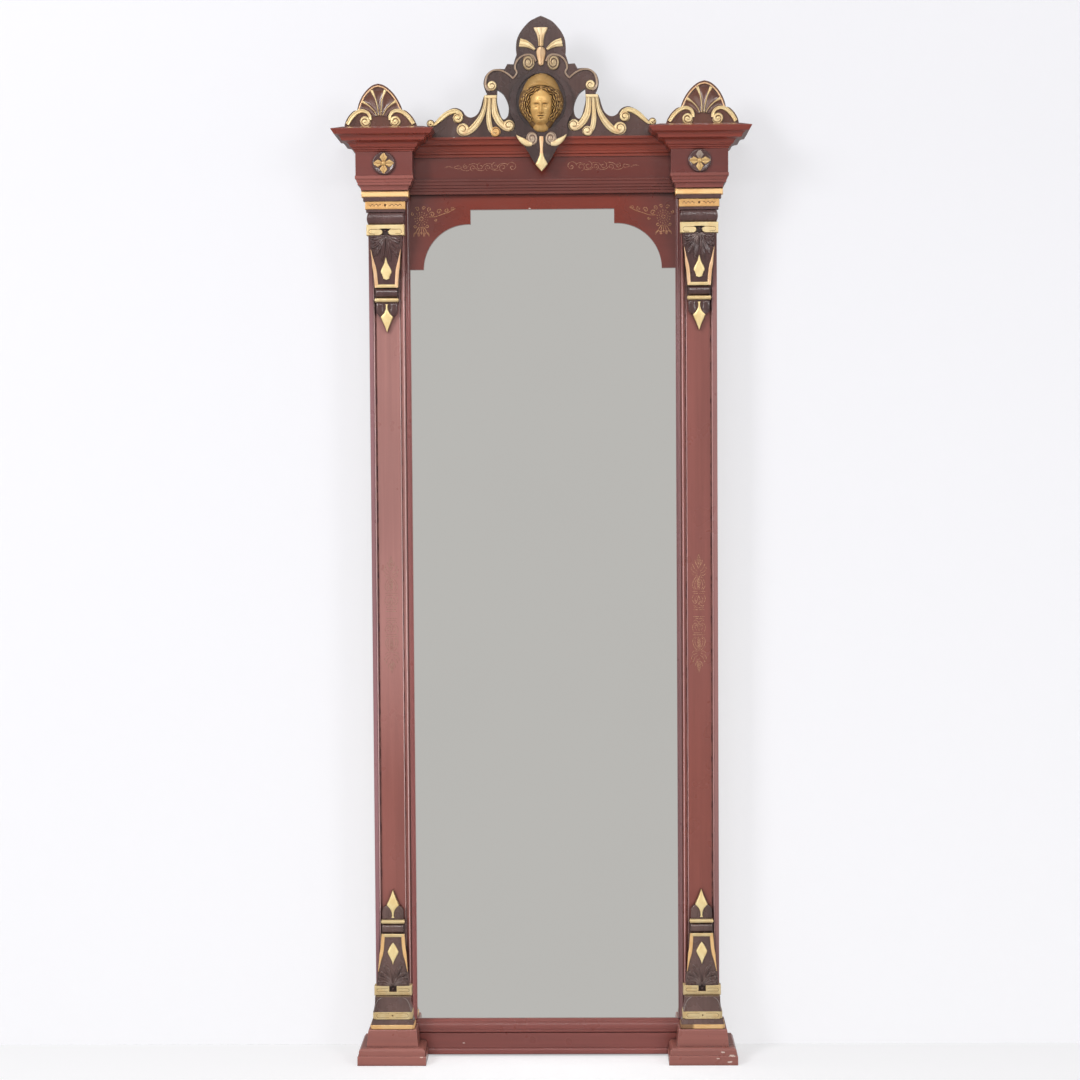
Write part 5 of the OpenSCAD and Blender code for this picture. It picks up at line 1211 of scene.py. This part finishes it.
def pale(name, colour, low_glow, high_glow, is_wall):
    """Surface that reads white to the camera: half of that is glow, which is strongest near the
    floor, and half is matt and takes the shadows. Reflections see the floor as the grey of the
    room, and do not see the wall, which is clear from behind too. Other rays see a matt floor."""
    made = bpy.data.materials.new(name)
    made.use_nodes = True
    tree = made.node_tree
    tree.nodes.clear()
    path = add("LightPath", tree=tree)
    height = add("SeparateXYZ", {0: add("TexCoord", tree=tree)["Object"]})["Z"]
    glow = add("MapRange", {0: height, 1: 0.0, 2: 2.4, 3: low_glow, 4: high_glow})[0]
    shine = add("Emission", {"Color": WHITE, "Strength": times(path["Is Camera Ray"], glow)})[0]
    matt = add("BsdfDiffuse", {"Color": colour}, tree)[0]
    both = add("AddShader", {0: matt, 1: shine})[0]
    bounce = add("BsdfDiffuse", {"Color": (0.75, 0.75, 0.76, 1)}, tree)[0]
    both = add("MixShader", {0: path["Is Camera Ray"], 1: bounce, 2: both})[0]
    if is_wall:
        front = minus(1.0, add("NewGeometry", tree=tree)["Backfacing"])
        clear = add("BsdfTransparent", tree=tree)[0]
        both = add("MixShader", {0: times(path["Is Camera Ray"], front), 1: clear, 2: both})[0]
    else:
        grey = add("Emission", {"Color": WHITE, "Strength": FRONT_GREY}, tree)[0]
        both = add("MixShader", {0: path["Is Glossy Ray"], 1: both, 2: grey})[0]
    add("OutputMaterial", {0: both})
    return made


wall_y, reach = 0.136, 9       # metres: the wall's place, and how far floor and wall go
sheet("floor", [(-reach, -reach, 0), (reach, -reach, 0), (reach, reach, 0), (-reach, reach, 0)],
      pale("pale_floor", (0.60, 0.595, 0.615, 1), 0.465, 0.465, False))
sheet("wall", [(-reach, wall_y, 0), (reach, wall_y, 0), (reach, wall_y, reach), (-reach, wall_y, reach)],
      pale("white_wall", (0.37, 0.365, 0.395, 1), 0.632, 0.515, True))

# The room: dim for matt surfaces, white to the camera, and for reflections grey in front, pale
# at the sides and dim behind, by how far the direction points forwards
ROOM_LIGHT = 0.38              # strength that falls on matt surfaces
world = bpy.data.worlds.new("room")
world.use_nodes = True
bpy.context.scene.world = world
tree = world.node_tree
path = add("LightPath", tree=tree)
toward = add("SeparateXYZ", {0: add("TexCoord", tree=tree)["Generated"]})["Y"]
in_front = add("MapRange", {0: toward, 1: -0.92, 2: -0.35, 3: FRONT_GREY, 4: 0.75},
               interpolation_type="SMOOTHSTEP")[0]
behind = add("MapRange", {0: toward, 1: 0.1, 2: 0.8, 3: 1.0, 4: 0.3},
             interpolation_type="SMOOTHSTEP")[0]
seen = maths("MAXIMUM", path["Is Camera Ray"], path["Is Transmission Ray"])
plain = add("MapRange", {0: seen, 3: ROOM_LIGHT, 4: 1.0})[0]
level = add("Mix", {0: path["Is Glossy Ray"], 2: plain, 3: times(in_front, behind)})[0]
feed(tree.nodes["Background"], {"Color": WHITE, "Strength": level})


def lamp_at(name, place, target, size, power):
    data = bpy.data.lights.new(name, "AREA")
    data.shape, data.size, data.size_y, data.energy = "RECTANGLE", *size, power
    made = link(name, data)
    made.location = place
    made.rotation_mode = "QUATERNION"
    made.rotation_quaternion = (Vector(target) - Vector(place)).to_track_quat("-Z", "Y")


lamp_at("lamp_left", (-3.0, -3.4, 3.6), (0, 0, 1.4), (1.2, 1.8), 118)
lamp_at("lamp_right", (3.2, -3.8, 3.1), (0, 0, 1.5), (1.2, 1.8), 63)
lamp_at("lamp_middle", (-0.1, -4.2, 4.3), (0, 0, 1.5), (2.6, 0.22), 40)

# Camera: place, focal length for a square picture 36 mm wide, then tilt, turn and roll
eye = (0.0898, 0.086 - 5.5, 1.5850)
sensor, focal = 36, 2106.35 / 1080 * 36
tilt, turn, roll = -0.04335, -0.01862, -0.00705


def spin(angle, first, second):
    """Matrix that turns from the first axis towards the second."""
    made = np.eye(3)
    made[first, first] = made[second, second] = math.cos(angle)
    made[first, second], made[second, first] = -math.sin(angle), math.sin(angle)
    return made


right, forward, up = spin(-roll, 0, 2) @ spin(-tilt, 1, 2) @ spin(turn, 0, 1)
data = bpy.data.cameras.new("camera")
data.lens, data.sensor_width = focal, sensor
camera = link("camera", data)
camera.matrix_world = Matrix.Translation(eye) @ Matrix(np.column_stack([right, up, -forward])).to_4x4()
bpy.context.scene.camera = camera
bpy.context.scene.view_settings.view_transform = "Standard"
